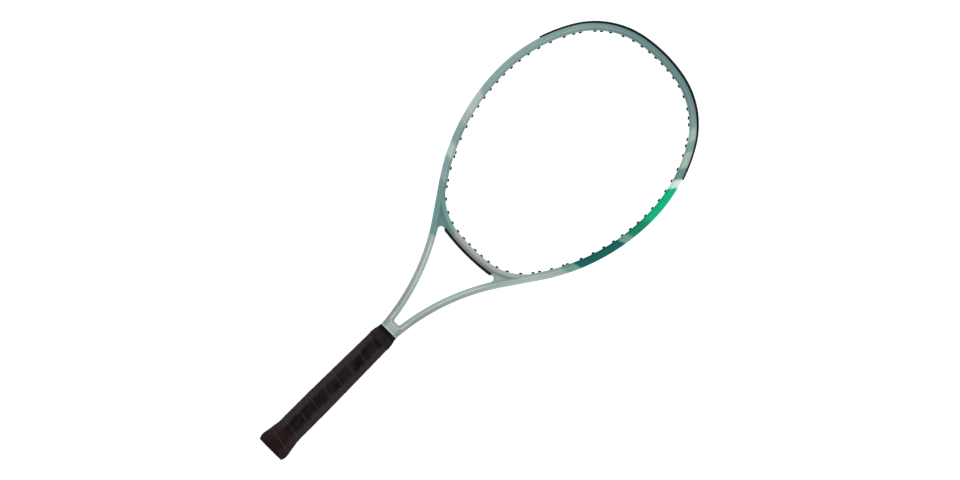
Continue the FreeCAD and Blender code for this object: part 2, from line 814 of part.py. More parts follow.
def frame_outline():
    """Outside of the hairpin, the head opening and the throat opening, in plan."""
    start = size("frame_start")
    outside = hoop_side(0, 0, start)
    end = Line(Vector(start, 0, 0), outside[0].start)
    return curves_both_sides([end] + outside + HEAD_OPENING + THROAT_OPENING)


def hollow_outline():
    """Bore of the hairpin, open at the ends of both legs."""
    wall = size("wall")
    gap = size("leg_half_gap") + wall
    start = size("frame_start") - PAST
    outside = hoop_side(wall, wall + size("groove_depth"), start)
    inside = hoop_side(size("arm_width") - wall, size("head_width") - wall)
    place = place_at_x(inside, APEX)
    kept = stretch_between(inside, place, TO_TIP)
    leg = Line(Vector(start, gap, 0), Vector(SPLIT, gap, 0))
    seam = Line(leg.end, kept[0].start)
    end = Line(outside[0].start, leg.start)
    return curves_both_sides([end] + outside + [leg, seam] + kept)


def bridge_band(inner_radius, outer_radius, half_span):
    """Closed plan outline of a band that follows the bridge, cut off at a half span."""
    stretches = []
    ends = []
    for radius in (inner_radius, outer_radius):
        back = math.sqrt(radius ** 2 - half_span ** 2)
        end = BRIDGE_CENTRE + Vector(-back, half_span, 0)
        stretches.append(axis_bend(BRIDGE_CENTRE, radius, end))
        ends.append(end)
    return curves_both_sides(stretches + [Line(*ends)])


def bridge_hollow_outline(gap=0.0):
    """Space inside the bridge, or its core when a gap is given."""
    wall = size("wall") + gap
    outer = size("bridge_radius") + size("bridge_width") - wall
    return bridge_band(size("bridge_radius") + wall, outer, CORE_HALF_SPAN - gap)


def long_face_edges(shape):
    """Names of the edges along a slab's two faces, apart from those across its ends."""
    whole = shape.BoundBox
    names = []
    for number, edge in enumerate(shape.Edges, start=1):
        limits = edge.BoundBox
        flat = limits.ZLength < 1e-6 and abs(abs(limits.ZMin) - whole.ZMax) < 1e-6
        at_end = limits.XLength < 1e-6 and (
            abs(limits.XMin - whole.XMin) < 1e-6 or abs(limits.XMax - whole.XMax) < 1e-6)
        if flat and not at_end:
            names.append(f"Edge{number}")
    return names


def make_frame_blank():
    """Hairpin, bridge and wedge as moulded, before they are told apart."""
    body = new_body("frame_blank")
    outline = plan_sketch(body, "frame_plan", frame_outline())
    slab = pad(body, outline, "dims.beam", "frame_slab")
    doc.recompute()
    bevel = body.newObject("PartDesign::Chamfer", "frame_bevels")
    bevel.Base = (slab, long_face_edges(slab.Shape))
    bevel.setExpression("Size", "dims.bevel")
    doc.recompute()
    bore = plan_sketch(body, "frame_bore_plan", hollow_outline())
    hollow_height = "dims.beam - 2 * dims.face_wall"
    pocket(body, bore, hollow_height, "frame_bore")
    core = plan_sketch(body, "bridge_bore_plan", bridge_hollow_outline())
    pocket(body, core, hollow_height, "bridge_bore")
    groove = plan_sketch(
        body, "groove_plan", ring_over_tip(-PAST, size("groove_depth"), GROOVE_PLACE))
    pocket(body, groove, "dims.groove_width", "string_groove")
    holes = solids_feature("string_holes", drilled_holes())
    removed = fuse_all("blank_tools", [holes] + make_seat_tools())
    return boolean("Cut", "drilled_blank", body, removed)


def make_wedge_tool():
    """Prism between the two legs, from where they part to the apex of the throat."""
    gap = size("leg_half_gap")
    corner = THROAT_OPENING[1].end
    points = [Vector(SPLIT, gap, 0), corner, Vector(corner.x + PAST, corner.y, 0)]
    mirrored = [flipped(point, -1) for point in reversed(points)]
    height = size("beam") / 2 + PAST
    ring = [Vector(point.x, point.y, -height) for point in points + mirrored]
    face = Part.Face(Part.makePolygon(ring + ring[:1]))
    return solids_feature("wedge_tool", [face.extrude(Vector(0, 0, 2 * height))])


def bridge_joint_side():
    """Half of the line that parts the bridge from the hoop, from the throat to the head."""
    root = THROAT_OPENING[3]
    low_x = root.start.x + size("bridge_root_gap")
    high_x = HEAD_OPENING[1].end.x - size("bridge_head_gap")
    joint = stretch_between(
        HOOP_INSIDE, place_at_x(HOOP_INSIDE, low_x), place_at_x(HOOP_INSIDE, high_x))
    low = joint[0].start
    high = joint[-1].end
    head_point = high - left_of(joint[-1].heading_at(1.0)) * 2 * size("bridge_width")
    throat_point = root.centre - Vector(PAST, 0, 0)
    return [
        Line(Vector(throat_point.x, 0, 0), throat_point),
        Line(throat_point, root.centre),
        Line(root.centre, low),
    ] + joint + [
        Line(high, head_point),
        Line(head_point, Vector(head_point.x, 0, 0)),
    ]


def make_bridge_tool():
    """Prism that holds the bridge and meets the inside of the two arms."""
    body = new_body("bridge_tool")
    plan = plan_sketch(body, "bridge_tool_plan", curves_both_sides(bridge_joint_side()))
    pad(body, plan, "2 * dims.beam", "bridge_tool_pad")
    return body


def make_seat_tools():
    """What thins the legs under the two pallets."""
    low_x = f"dims.frame_start - {PAST}"
    across = f"dims.shaft_half_width + {PAST}"
    tools = []
    for face, sign in FACES:
        levels = ("dims.beam / 2 - dims.seat_depth", f"dims.beam / 2 + {PAST}")
        if sign < 0:
            levels = tuple(f"-({level})" for level in reversed(levels))
        tools.append(box(f"{face}_seat_tool",
                         (low_x, f"-({across})", levels[0]),
                         (PALLET_END, across, levels[1])))
    return tools


def make_frame():
    """The hoop with its two legs, the bridge with its core, and the wedge."""
    blank = make_frame_blank()
    wedge_tool = make_wedge_tool()
    bridge_tool = make_bridge_tool()
    seam_tool = box("leg_seam_tool",
                    (f"dims.frame_start - {PAST}", "-dims.leg_half_gap", "-dims.beam"),
                    (str(SPLIT), "dims.leg_half_gap", "dims.beam"))
    removed = fuse_all("frame_tools", [wedge_tool, bridge_tool, seam_tool])
    node("frame_tube", boolean("Cut", "frame_tube", blank, removed))
    node("throat_bridge", boolean("Common", "throat_bridge", blank, bridge_tool))
    node("throat_wedge", boolean("Common", "throat_wedge", blank, wedge_tool))
    body = new_body("bridge_core_block")
    outline = plan_sketch(body, "bridge_core_plan", bridge_hollow_outline(size("glue_gap")))
    pad(body, outline, "dims.beam - 2 * dims.face_wall - 2 * dims.glue_gap", "bridge_core")
    holes = solids_feature("bridge_core_holes", [
        hole.rod(size("hole_radius"), -PAST, hole.depth + PAST)
        for hole in both_sides(BRIDGE_HOLES)])
    node("throat_bridge_core", boolean("Cut", "throat_bridge_core", body, holes))


# ---------------------------------------------------------------- grommets and guard


def finish_strip(name, body, holes, run_past):
    """Give a strip its barrels and bore them for the strings."""
    rods = solids_feature(f"{name}_barrels", barrels(holes, run_past))
    whole = fuse_all(f"{name}_whole", [body, rods])
    bores = solids_feature(f"{name}_bores", string_bores(holes))
    node(name, boolean("Cut", name, whole, bores))


def make_bumper_guard():
    """Guard round the tip: a band on the outside and a rib in the groove."""
    body = new_body("bumper_band")
    gap = size("bumper_gap")
    band = plan_sketch(body, "bumper_band_plan", ring_over_tip(
        -gap - size("bumper_thickness"), -gap, BUMPER_PLACE))
    pad(body, band, "dims.beam - 2 * dims.bevel", "bumper_band_pad")
    floor = size("groove_depth") - size("strip_clearance")
    rib = plan_sketch(body, "bumper_rib_plan", ring_over_tip(
        -gap - size("bumper_thickness") / 2, floor, BUMPER_PLACE))
    pad(body, rib, "dims.groove_width - 2 * dims.strip_clearance", "bumper_rib_pad")
    finish_strip("bumper_guard", body, both_sides(TIP_HOLES), size("groove_depth"))


def make_side_strips():
    """The strips that lie in the groove down each side of the hoop."""
    hoop_outside = hoop_side(0, 0)
    place_to = place_at_x(hoop_outside, GUARD_END - size("side_strip_end_gap"))
    place_from = place_at_x(hoop_outside, GROOVE_END + size("side_strip_end_gap"))
    floor = size("groove_depth") - size("strip_clearance")
    for side, flip in SIDES:
        name = f"grommet_strip_{side}"
        body = new_body(f"{name}_band")
        plan = plan_sketch(body, f"{name}_plan", ring_one_side(
            size("strip_recess"), floor, place_from, place_to, flip))
        pad(body, plan, "dims.groove_width - 2 * dims.strip_clearance", f"{name}_pad")
        holes = [hole.mirrored(flip) for hole in SIDE_HOLES]
        finish_strip(name, body, holes, size("groove_depth") / 2)


def make_throat_strip():
    """The strip under the bridge."""
    inner = size("bridge_radius") + size("bridge_width") + size("glue_gap")
    outer = inner + size("throat_strip_thickness")
    body = new_body("throat_strip_band")
    plan = plan_sketch(body, "throat_strip_plan", bridge_band(
        inner, outer, THROAT_STRIP_HALF_SPAN))
    pad(body, plan, "dims.throat_strip_height", "throat_strip_pad")
    sunk = size("throat_strip_thickness") / 2
    finish_strip("grommet_strip_throat", body, both_sides(BRIDGE_HOLES), sunk)


# ---------------------------------------------------------------- handle

GRIP = "dims.grip_thickness"
GAP = "dims.glue_gap"
PALLET_END = f"({FLARE_START} + dims.pallet_past_flare)"
GRIP_END = f"({FLARE_START} + dims.grip_past_flare)"
TAPE_START = f"({PALLET_END} - dims.tape_over_pallets)"
TAPE_DOWN = f"({GRIP_END} + dims.tape_run_down)"
TAPE_END = f"({TAPE_DOWN} + dims.tape_on_shaft)"


def station_sizes(station):
    """Half width, half depth and bevels of the outside of the grip at a named station."""
    bevels = ("dims.octagon_bevel_width", "dims.octagon_bevel_depth")
    to_depth = "dims.grip_half_depth - dims.grip_half_width"
    skirt_out = ("(dims.flare_half_width - dims.grip_half_width)"
                 " * (dims.handle_straight_from - dims.skirt_end)"
                 " / (dims.handle_straight_from - dims.flare_station)")
    table = {
        "rim": ("dims.rim_half_width", f"(dims.rim_half_width + {to_depth})", *bevels),
        "flare": ("dims.flare_half_width", f"(dims.flare_half_width + {to_depth})", *bevels),
        "skirt": (f"(dims.grip_half_width + {skirt_out})",
                  f"(dims.grip_half_depth + {skirt_out})", *bevels),
        "straight": ("dims.grip_half_width", "dims.grip_half_depth", *bevels),
        "taper": ("dims.taper_half_width", "dims.taper_half_depth",
                  "dims.taper_bevel_width", "dims.taper_bevel_depth"),
        "neck": ("dims.neck_half_width", "dims.neck_half_depth", "dims.bevel", "dims.bevel"),
    }
    return table[station]


def handle_octagon(station, inset):
    """The grip's outside at a named station, moved in by an inset expression."""
    half_width, half_depth, bevel_width, bevel_depth = station_sizes(station)
    return octagon(f"({half_width} - ({inset}))", f"({half_depth} - ({inset}))",
                   bevel_width, bevel_depth)


def handle_loft(body, kind, name, sections):
    """Loft through (named station, inset, place along X) sections of the handle."""
    sketches = []
    for number, (station, inset, place) in enumerate(sections, start=1):
        corners = handle_octagon(station, inset)
        sketches.append(polygon_sketch(body, f"{name}_{number}", corners, place))
    return loft(body, kind, sketches, name)


def make_butt_cap():
    """Flared cap: bare round the rim, thinner under the grip, open towards the pallets."""
    body = new_body("butt_cap_shell")
    under_grip = f"{GRIP} + {GAP}"
    handle_loft(body, "AdditiveLoft", "cap_rim", [
        ("rim", "0", "0"),
        ("flare", "0.5", "dims.grip_start")])
    handle_loft(body, "AdditiveLoft", "cap_skirt", [
        ("flare", under_grip, "dims.grip_start"),
        ("flare", under_grip, "dims.flare_station"),
        ("skirt", under_grip, "dims.skirt_end")])
    inside = f"{GRIP} + {GAP} + dims.cap_wall"
    handle_loft(body, "SubtractiveLoft", "cap_inside", [
        ("skirt", inside, "dims.cap_floor"),
        ("skirt", inside, f"dims.skirt_end + {PAST}")])
    recess = polygon_sketch(body, "badge_recess_plan", octagon(
        f"(dims.badge_half_width + {GAP})", f"(dims.badge_half_depth + {GAP})",
        "dims.badge_bevel", "dims.badge_bevel"), "dims.badge_thickness")
    cut = body.newObject("PartDesign::Pocket", "badge_recess")
    cut.Profile = recess
    cut.setExpression("Length", f"dims.badge_thickness + {PAST}")
    return body


def make_badge():
    """Plain plate that closes the recess in the butt end."""
    body = new_body("butt_cap_plate")
    plan = polygon_sketch(body, "badge_plan", octagon(
        "dims.badge_half_width", "dims.badge_half_depth",
        "dims.badge_bevel", "dims.badge_bevel"))
    plate = body.newObject("PartDesign::Pad", "badge_pad")
    plate.Profile = plan
    plate.setExpression("Length", f"dims.badge_thickness - {GAP}")
    node("butt_cap_plate", body)


def make_leg_channel():
    """Room for the two bonded legs, which the pallets are moulded round."""
    clearance = size("pallet_clearance")
    run = hoop_side(-clearance, -clearance)
    leg_end = value(PALLET_END) + PAST
    kept = stretch_between(run, (LEG_RUN, 0.0), place_at_x(run, leg_end))
    across = Line(kept[-1].end, Vector(kept[-1].end.x, 0, 0))
    close = Line(Vector(kept[0].start.x, 0, 0), kept[0].start)
    body = new_body("leg_channel")
    plan = plan_sketch(
        body, "leg_channel_plan", curves_both_sides([close] + kept + [across]))
    slab = pad(body, plan, "dims.beam - 2 * dims.seat_depth + 2 * dims.pallet_clearance",
               "leg_channel_slab")
    doc.recompute()
    bevel = body.newObject("PartDesign::Chamfer", "leg_channel_bevels")
    bevel.Base = (slab, long_face_edges(slab.Shape))
    bevel.setExpression("Size", "dims.bevel - dims.seat_depth + dims.pallet_clearance / 2")
    return body


def make_pallet(face, sign):
    """Half of the octagonal handle, split in the string plane, moulded round the legs."""
    body = new_body(f"pallet_{face}_block")
    under_grip = f"{GRIP} + {GAP}"
    under_cap = f"{GRIP} + 2 * {GAP} + dims.cap_wall"
    handle_loft(body, "AdditiveLoft", f"pallet_{face}_foot", [
        ("skirt", under_cap, f"dims.cap_floor + {GAP}"),
        ("skirt", under_cap, f"dims.skirt_end + {GAP}")])
    handle_loft(body, "AdditiveLoft", f"pallet_{face}_body", [
        ("skirt", under_grip, f"dims.skirt_end + {GAP}"),
        ("straight", under_grip, "dims.handle_straight_from"),
        ("straight", under_grip, "dims.handle_straight_to"),
        ("taper", under_grip, PALLET_END)])
    other_half = box(
        f"pallet_{face}_split_tool",
        (f"-{PAST}", "-2 * dims.grip_half_width",
         "-2 * dims.grip_half_depth" if sign > 0 else f"-{GAP} / 2"),
        (f"{PALLET_END} + {PAST}", "2 * dims.grip_half_width",
         f"{GAP} / 2" if sign > 0 else "2 * dims.grip_half_depth"))
    return body, other_half


def make_bond_tapes_and_weight():
    """Tape that bonds the pallets to the legs, and the balance strip in the upper one."""
    seat = "(dims.beam / 2 - dims.seat_depth)"
    half_gap = "dims.pallet_clearance"
    for face, sign in FACES:
        levels = (seat, f"{seat} + {half_gap}")
        if sign < 0:
            levels = tuple(f"-({level})" for level in reversed(levels))
        node(f"pallet_tape_{face}", box(
            f"pallet_tape_{face}",
            ("dims.frame_start", "-dims.bond_tape_width / 2", levels[0]),
            (PALLET_END, "dims.bond_tape_width / 2", levels[1])))
    top = f"{seat} + {half_gap}"
    node("balance_weight", box(
        "balance_weight",
        ("dims.weight_station", "-dims.weight_width / 2", top),
        ("dims.weight_station + dims.weight_length", "dims.weight_width / 2",
         f"{top} + dims.weight_thickness")))
    return box(
        "weight_recess_tool",
        (f"dims.weight_station - {GAP}", f"-dims.weight_width / 2 - {GAP}", seat),
        (f"dims.weight_station + dims.weight_length + {GAP}",
         f"dims.weight_width / 2 + {GAP}", f"{top} + dims.weight_thickness"))


def cap_slope():
    """Height above the axis, and slope, of the cap's flat under the grip at a station."""
    rise = size("flare_half_width") - size("grip_half_width")
    run = size("handle_straight_from") - size("flare_station")
    return rise / run


def cap_flat(station, half_straight):
    """Distance from the axis to the cap's outside under the grip."""
    out = (size("handle_straight_from") - station) * cap_slope()
    return half_straight + out - size("grip_thickness") - size("glue_gap")


def make_staples():
    """Four staples that fix the cap to the pallets, and the slots they need."""
    wire = size("staple_wire")
    half = size("staple_half_span")
    station = size("staple_station")
    leg = size("staple_leg")
    staples = []
    slots = []
    for turn in (0, 180):
        for offset in (-half - wire, half + wire):
            top = cap_flat(station + wire, size("grip_half_depth"))
            staples.append(staple(station, offset, top, half, wire, leg, 0.0, turn))
            gap = size("staple_gap")
            slots.append(staple(station, offset, top + PAST, half, wire, leg + PAST, gap, turn))
    return staples, slots


def staple(station, offset, top, half, wire, leg, gap, turn):
    """Crown and two legs, pressed in from a face. offset moves it across the handle."""
    low = offset - half / 2 - gap
    span = half + 2 * gap
    thick = wire + 2 * gap
    crown = Part.makeBox(thick, span, top - (cap_seat(station) - gap),
                         Vector(station - gap, low, cap_seat(station) - gap))
    shape = crown
    for leg_low in (low, low + span - thick):
        foot = Part.makeBox(thick, thick, leg + gap,
                            Vector(station - gap, leg_low, top - leg - gap))
        shape = shape.fuse(foot)
    shape.rotate(Vector(0, 0, 0), Vector(1, 0, 0), turn)
    return shape.removeSplitter()


def cap_seat(station):
    """Underside of a staple's crown, sunk into the cap by its own wire."""
    top = cap_flat(station + size("staple_wire"), size("grip_half_depth"))
    return top - size("staple_wire")


def make_tack():
    """Tack through the start of the grip, and the two clearance shapes that it needs."""
    station = size("tack_station")
    head = size("tack_head_thickness")
    outside = cap_flat(station + size("tack_head_radius"), size("grip_half_width"))
    gap = size("staple_gap")
    shapes = []
    for clearance in (0.0, gap):
        disc = Part.makeCylinder(
            size("tack_head_radius") + clearance, head + clearance,
            Vector(station, outside - head, 0), Vector(0, 1, 0))
        pin = Part.makeCylinder(
            size("tack_pin_radius") + clearance, size("tack_pin_length"),
            Vector(station, outside - head, 0), Vector(0, -1, 0))
        if clearance:
            disc = Part.makeCylinder(
                size("tack_head_radius") + clearance, head + PAST,
                Vector(station, outside - head - clearance, 0), Vector(0, 1, 0))
        shapes.append(disc.fuse(pin).removeSplitter())
    return shapes


def make_grip():
    """Wound base grip, as one flared octagonal sleeve."""
    body = new_body("base_grip")
    handle_loft(body, "AdditiveLoft", "grip_outside", [
        ("flare", "0.3", "dims.grip_start"),
        ("flare", "0", "dims.flare_station"),
        ("straight", "0", "dims.handle_straight_from"),
        ("straight", "0", "dims.handle_straight_to"),
        ("taper", "0", PALLET_END),
        ("neck", "0", GRIP_END)])
    handle_loft(body, "SubtractiveLoft", "grip_inside", [
        ("flare", GRIP, f"dims.grip_start - {GAP}"),
        ("flare", GRIP, "dims.flare_station"),
        ("straight", GRIP, "dims.handle_straight_from"),
        ("straight", GRIP, "dims.handle_straight_to"),
        ("taper", GRIP, PALLET_END),
        ("neck", GRIP, GRIP_END),
        ("neck", GRIP, f"{GRIP_END} + {GAP}")])
    node("base_grip", body)


def shaft_sections(extra):
    """Half width and half depth of the bare shaft where the tape lies on it."""
    run = hoop_side(-extra, -extra)
    sections = []
    for station in (value(TAPE_DOWN), value(TAPE_END)):
        index, share = place_at_x(run, station)
        sections.append((run[index].point(share).y, size("beam") / 2 + extra, station))
    return sections


def make_finishing_tape():
    """Tape over the upper end of the grip, drawn down on to the shaft."""
    body = new_body("finishing_tape")
    for kind, extra in (("AdditiveLoft", "dims.tape_thickness"), ("SubtractiveLoft", "0")):
        past = "0" if kind == "AdditiveLoft" else GAP
        sketches = []
        places = (("taper", f"-({extra}) - {GAP} / 2", f"{TAPE_START} - {past}"),
                  ("neck", f"-({extra}) - {GAP} / 2", f"{GRIP_END} + {GAP} / 2"))
        for number, (station, inset, place) in enumerate(places, start=1):
            corners = handle_octagon(station, inset)
            sketches.append(polygon_sketch(body, f"tape_{kind}_{number}", corners, place))
        for number, (half_width, half_depth, place) in enumerate(
                shaft_sections(value(extra) + size("glue_gap")), start=3):
            corners = octagon(str(half_width), str(half_depth), "dims.bevel", "dims.bevel")
            shift = past if number == 4 else "0"
            sketches.append(polygon_sketch(
                body, f"tape_{kind}_{number}", corners, f"{place} + {shift}"))
        loft(body, kind, sketches, f"tape_{kind}")
    node("finishing_tape", body)


def make_leg_plugs():
    """Foam that closes the hollow end of each leg."""
    wall = "(dims.wall + dims.plug_gap)"
    half_height = "(dims.beam / 2 - dims.face_wall - dims.plug_gap)"
    inner = f"dims.leg_half_gap + {wall}"
    outer = f"dims.shaft_half_width - {wall}"
    for side, flip in SIDES:
        limits = (inner, outer) if flip > 0 else (f"-({outer})", f"-({inner})")
        node(f"leg_plug_{side}", box(
            f"leg_plug_{side}",
            ("dims.frame_start", limits[0], f"-{half_height}"),
            ("dims.frame_start + dims.plug_length", limits[1], half_height)))


def make_handle():
    cap = make_butt_cap()
    make_badge()
    make_grip()
    make_finishing_tape()
    make_leg_plugs()
    weight_recess = make_bond_tapes_and_weight()
    staples, slots = make_staples()
    node("butt_cap_staples", solids_feature("butt_cap_staples", staples))
    tack, tack_clearance = make_tack()
    tack_feature = doc.addObject("Part::Feature", "grip_tack")
    tack_feature.Shape = tack
    node("grip_tack", tack_feature)
    fixings = solids_feature("fixing_slots", slots + [tack_clearance])
    node("butt_cap", boolean("Cut", "butt_cap", cap, fixings))
    channel = make_leg_channel()
    for face, sign in FACES:
        block, other_half = make_pallet(face, sign)
        cutters = [other_half, channel, fixings]
        if sign > 0:
            cutters.append(weight_recess)
        tools = fuse_all(f"pallet_{face}_tools", cutters)
        name = f"handle_pallet_{face}"
        node(name, boolean("Cut", name, block, tools))


# ---------------------------------------------------------------- build and write

NODES = {}


def node(name, feature):
    """Keep a finished sub-part under the name of its file."""
    feature.Label = name
    NODES[name] = feature


def check_features():
    """Stop if any object of the document failed to build."""
    for feature in doc.Objects:
        if "Invalid" in feature.State or "Error" in feature.State:
            raise RuntimeError(f"{feature.Label} failed: {feature.State}")
    for name, feature in NODES.items():
        if feature.Shape.isNull() or not feature.Shape.isValid():
            raise RuntimeError(f"{name} has no valid shape")


def write_parts():
    os.makedirs("parts", exist_ok=True)
    for name, feature in NODES.items():
        feature.Shape.exportStep(f"parts/{name}.step")
        solids = len(feature.Shape.Solids)
        volume = feature.Shape.Volume / 1000
        print(f"{name}: {solids} solid(s), {volume:.2f} cm3")


make_frame()
make_bumper_guard()
make_side_strips()
make_throat_strip()
make_handle()
doc.recompute()
check_features()
write_parts()
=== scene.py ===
import math

import bmesh
import bpy
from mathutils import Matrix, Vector


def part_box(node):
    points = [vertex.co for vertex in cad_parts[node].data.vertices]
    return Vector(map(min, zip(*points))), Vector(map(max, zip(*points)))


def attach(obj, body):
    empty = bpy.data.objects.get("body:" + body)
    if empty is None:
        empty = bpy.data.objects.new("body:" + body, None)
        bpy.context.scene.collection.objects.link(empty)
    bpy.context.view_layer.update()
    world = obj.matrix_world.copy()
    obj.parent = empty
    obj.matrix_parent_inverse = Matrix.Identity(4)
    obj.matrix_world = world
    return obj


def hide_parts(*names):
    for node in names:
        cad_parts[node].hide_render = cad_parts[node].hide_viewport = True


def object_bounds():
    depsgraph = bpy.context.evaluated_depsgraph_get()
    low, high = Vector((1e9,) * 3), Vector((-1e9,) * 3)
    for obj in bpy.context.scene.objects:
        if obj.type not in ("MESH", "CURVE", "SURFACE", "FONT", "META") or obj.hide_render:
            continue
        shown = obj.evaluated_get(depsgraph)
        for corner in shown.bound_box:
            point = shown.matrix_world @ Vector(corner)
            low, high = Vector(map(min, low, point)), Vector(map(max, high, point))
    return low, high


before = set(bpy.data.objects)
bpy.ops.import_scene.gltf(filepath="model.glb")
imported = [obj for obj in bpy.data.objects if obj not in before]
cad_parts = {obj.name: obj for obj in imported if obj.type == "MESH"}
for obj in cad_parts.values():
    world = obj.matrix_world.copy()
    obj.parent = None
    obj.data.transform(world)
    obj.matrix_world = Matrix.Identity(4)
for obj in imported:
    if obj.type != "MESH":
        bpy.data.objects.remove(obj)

# An unstrung tennis racket lying face up on a pale floor. The CAD model gives the sizes.
# The painted frame, the lips of the guard and of the throat strip, and the wound grip are
# made here in finer shape, because the eye reads their facets and turns. Everything is in
# metres.

CAD_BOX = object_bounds()
TUBE_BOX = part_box("frame_tube")
GRIP_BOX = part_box("base_grip")
TAPE_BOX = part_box("finishing_tape")

TIP = TUBE_BOX[1].x
HALF_WIDTH = TUBE_BOX[1].y
HALF_BEAM = TUBE_BOX[1].z
LEG_START = TUBE_BOX[0].x

# ---------------------------------------------------------------- plan of the frame
#
# +X runs from the butt to the tip, +Y across the string plane, +Z out of it. An outline
# is a chain of stretches travelled from the butt to the tip on the +Y side.

MM = 0.001

CROWN_DEPTH = 155.3 * MM        # tip to the widest station
CROWN_RADIUS = 180.0 * MM
SHOULDER_RADIUS = 106.6 * MM
SIDE_RADIUS = 199.4 * MM
LOWER_RADIUS = 264.7 * MM
FLARE_RADIUS = 279.8 * MM
ARM_ANGLE = math.radians(34.6)
SHAFT_HALF_WIDTH = 11.9 * MM
HEAD_WIDTH = 10.1 * MM
ARM_WIDTH = 9.1 * MM
STRING_LENGTH = 324.5 * MM
BRIDGE_RADIUS = 268.0 * MM
BRIDGE_WIDTH = 10.0 * MM
HEAD_CORNER_RADIUS = 70.0 * MM
THROAT_CORNER_RADIUS = 4.5 * MM
APEX_FROM_FLARE = 34.4 * MM
APEX_CORNER_RADIUS = 2.0 * MM
WIDER_FROM = 343 * MM           # stations between which the arms widen into the head
WIDER_TO = 389 * MM


class Straight:
    """A straight stretch of an outline."""

    def __init__(self, start, end):
        self.start = start
        self.end = end
        self.length = (end - start).length
        self.heading = math.atan2(end.y - start.y, end.x - start.x)

    def at(self, share):
        return self.start.lerp(self.end, share), self.heading


class Arc:
    """A round stretch. turn is 1 where the left side is convex, -1 where it's hollow."""

    def __init__(self, centre, radius, turn, heading_from, heading_to):
        self.centre = centre
        self.radius = radius
        self.turn = turn
        self.heading_from = heading_from
        self.heading_to = heading_to
        self.length = radius * abs(heading_to - heading_from)
        self.start = self.at(0.0)[0]
        self.end = self.at(1.0)[0]

    def at(self, share):
        heading = self.heading_from + (self.heading_to - self.heading_from) * share
        return self.centre + left_of(heading) * self.radius * self.turn, heading


def left_of(heading):
    """Unit vector to the left of a heading."""
    return Vector((-math.sin(heading), math.cos(heading)))


def heading_round(centre, point):
    """Heading of travel at a point of a convex arc."""
    spoke = point - centre
    return math.atan2(-spoke.x, spoke.y)


def circle_meeting(centre_a, radius_a, centre_b, radius_b, further=True):
    """Where two circles cross: the point further along +X, or the other one."""
    span = centre_b - centre_a
    along = (span.length_squared + radius_a ** 2 - radius_b ** 2) / (2 * span.length)
    across = math.sqrt(radius_a ** 2 - along ** 2)
    unit = span.normalized()
    side = Vector((-unit.y, unit.x))
    points = [centre_a + unit * along + side * across * sign for sign in (1, -1)]
    return (max if further else min)(points, key=lambda point: point.x)


def hoop_centres():
    """Centres of the flare, lower, side, shoulder and crown arcs."""
    rise = HALF_WIDTH - SHAFT_HALF_WIDTH
    radii = FLARE_RADIUS + LOWER_RADIUS
    straight = (rise - radii * (1 - math.cos(ARM_ANGLE))) / math.sin(ARM_ANGLE)
    flare_x = WIDEST - radii * math.sin(ARM_ANGLE) - straight * math.cos(ARM_ANGLE)
    flare = Vector((flare_x, SHAFT_HALF_WIDTH + FLARE_RADIUS))
    lower = Vector((WIDEST, HALF_WIDTH - LOWER_RADIUS))
    side = Vector((WIDEST, HALF_WIDTH - SIDE_RADIUS))
    crown = Vector((TIP - CROWN_RADIUS, 0))
    shoulder = circle_meeting(side, SIDE_RADIUS - SHOULDER_RADIUS,
                              crown, CROWN_RADIUS - SHOULDER_RADIUS)
    return flare, lower, side, shoulder, crown


def hoop_side(arm_inset=0.0, head_inset=0.0):
    """The +Y half of the frame's outline at an inset, from the butt to the tip."""
    flare_radius = FLARE_RADIUS + arm_inset
    lower_radius = LOWER_RADIUS - head_inset
    span = LOWER - FLARE
    heading = math.atan2(span.y, span.x) + math.asin((flare_radius + lower_radius) / span.length)
    leg_y = SHAFT_HALF_WIDTH - arm_inset
    flare = Arc(FLARE, flare_radius, -1, 0.0, heading)
    lower = Arc(LOWER, lower_radius, 1, heading, 0.0)
    to_shoulder = heading_round(SIDE, SHOULDER)
    to_crown = heading_round(CROWN, SHOULDER)
    return [
        Straight(Vector((LEG_START, leg_y)), Vector((FLARE.x, leg_y))),
        flare,
        Straight(flare.end, lower.start),
        lower,
        Arc(SIDE, SIDE_RADIUS - head_inset, 1, 0.0, to_shoulder),
        Arc(SHOULDER, SHOULDER_RADIUS - head_inset, 1, to_shoulder, to_crown),
        Arc(CROWN, CROWN_RADIUS - head_inset, 1, to_crown, -math.pi / 2),
    ]


WIDEST = TIP - CROWN_DEPTH
FLARE, LOWER, SIDE, SHOULDER, CROWN = hoop_centres()
APEX = FLARE.x + APEX_FROM_FLARE
BRIDGE_TOP = TIP - HEAD_WIDTH - STRING_LENGTH
BRIDGE_CENTRE = Vector((BRIDGE_TOP + BRIDGE_RADIUS, 0))


def arc_from_axis(radius, towards):
    """Arc about the bridge's centre, from the axis to a point on the +Y side."""
    spoke = towards - BRIDGE_CENTRE
    turned = math.atan2(spoke.y, -spoke.x)
    return Arc(BRIDGE_CENTRE, radius, 1, math.pi / 2, math.pi / 2 - turned)


def arc_between(centre, radius, start, end, turn=1):
    """The shorter arc round a centre between two of its points."""
    first, last = (heading_round(centre, point) for point in (start, end))
    if turn < 0:
        first, last = first + math.pi, last + math.pi
    last -= 2 * math.pi * round((last - first) / (2 * math.pi))
    return Arc(centre, radius, turn, first, last)


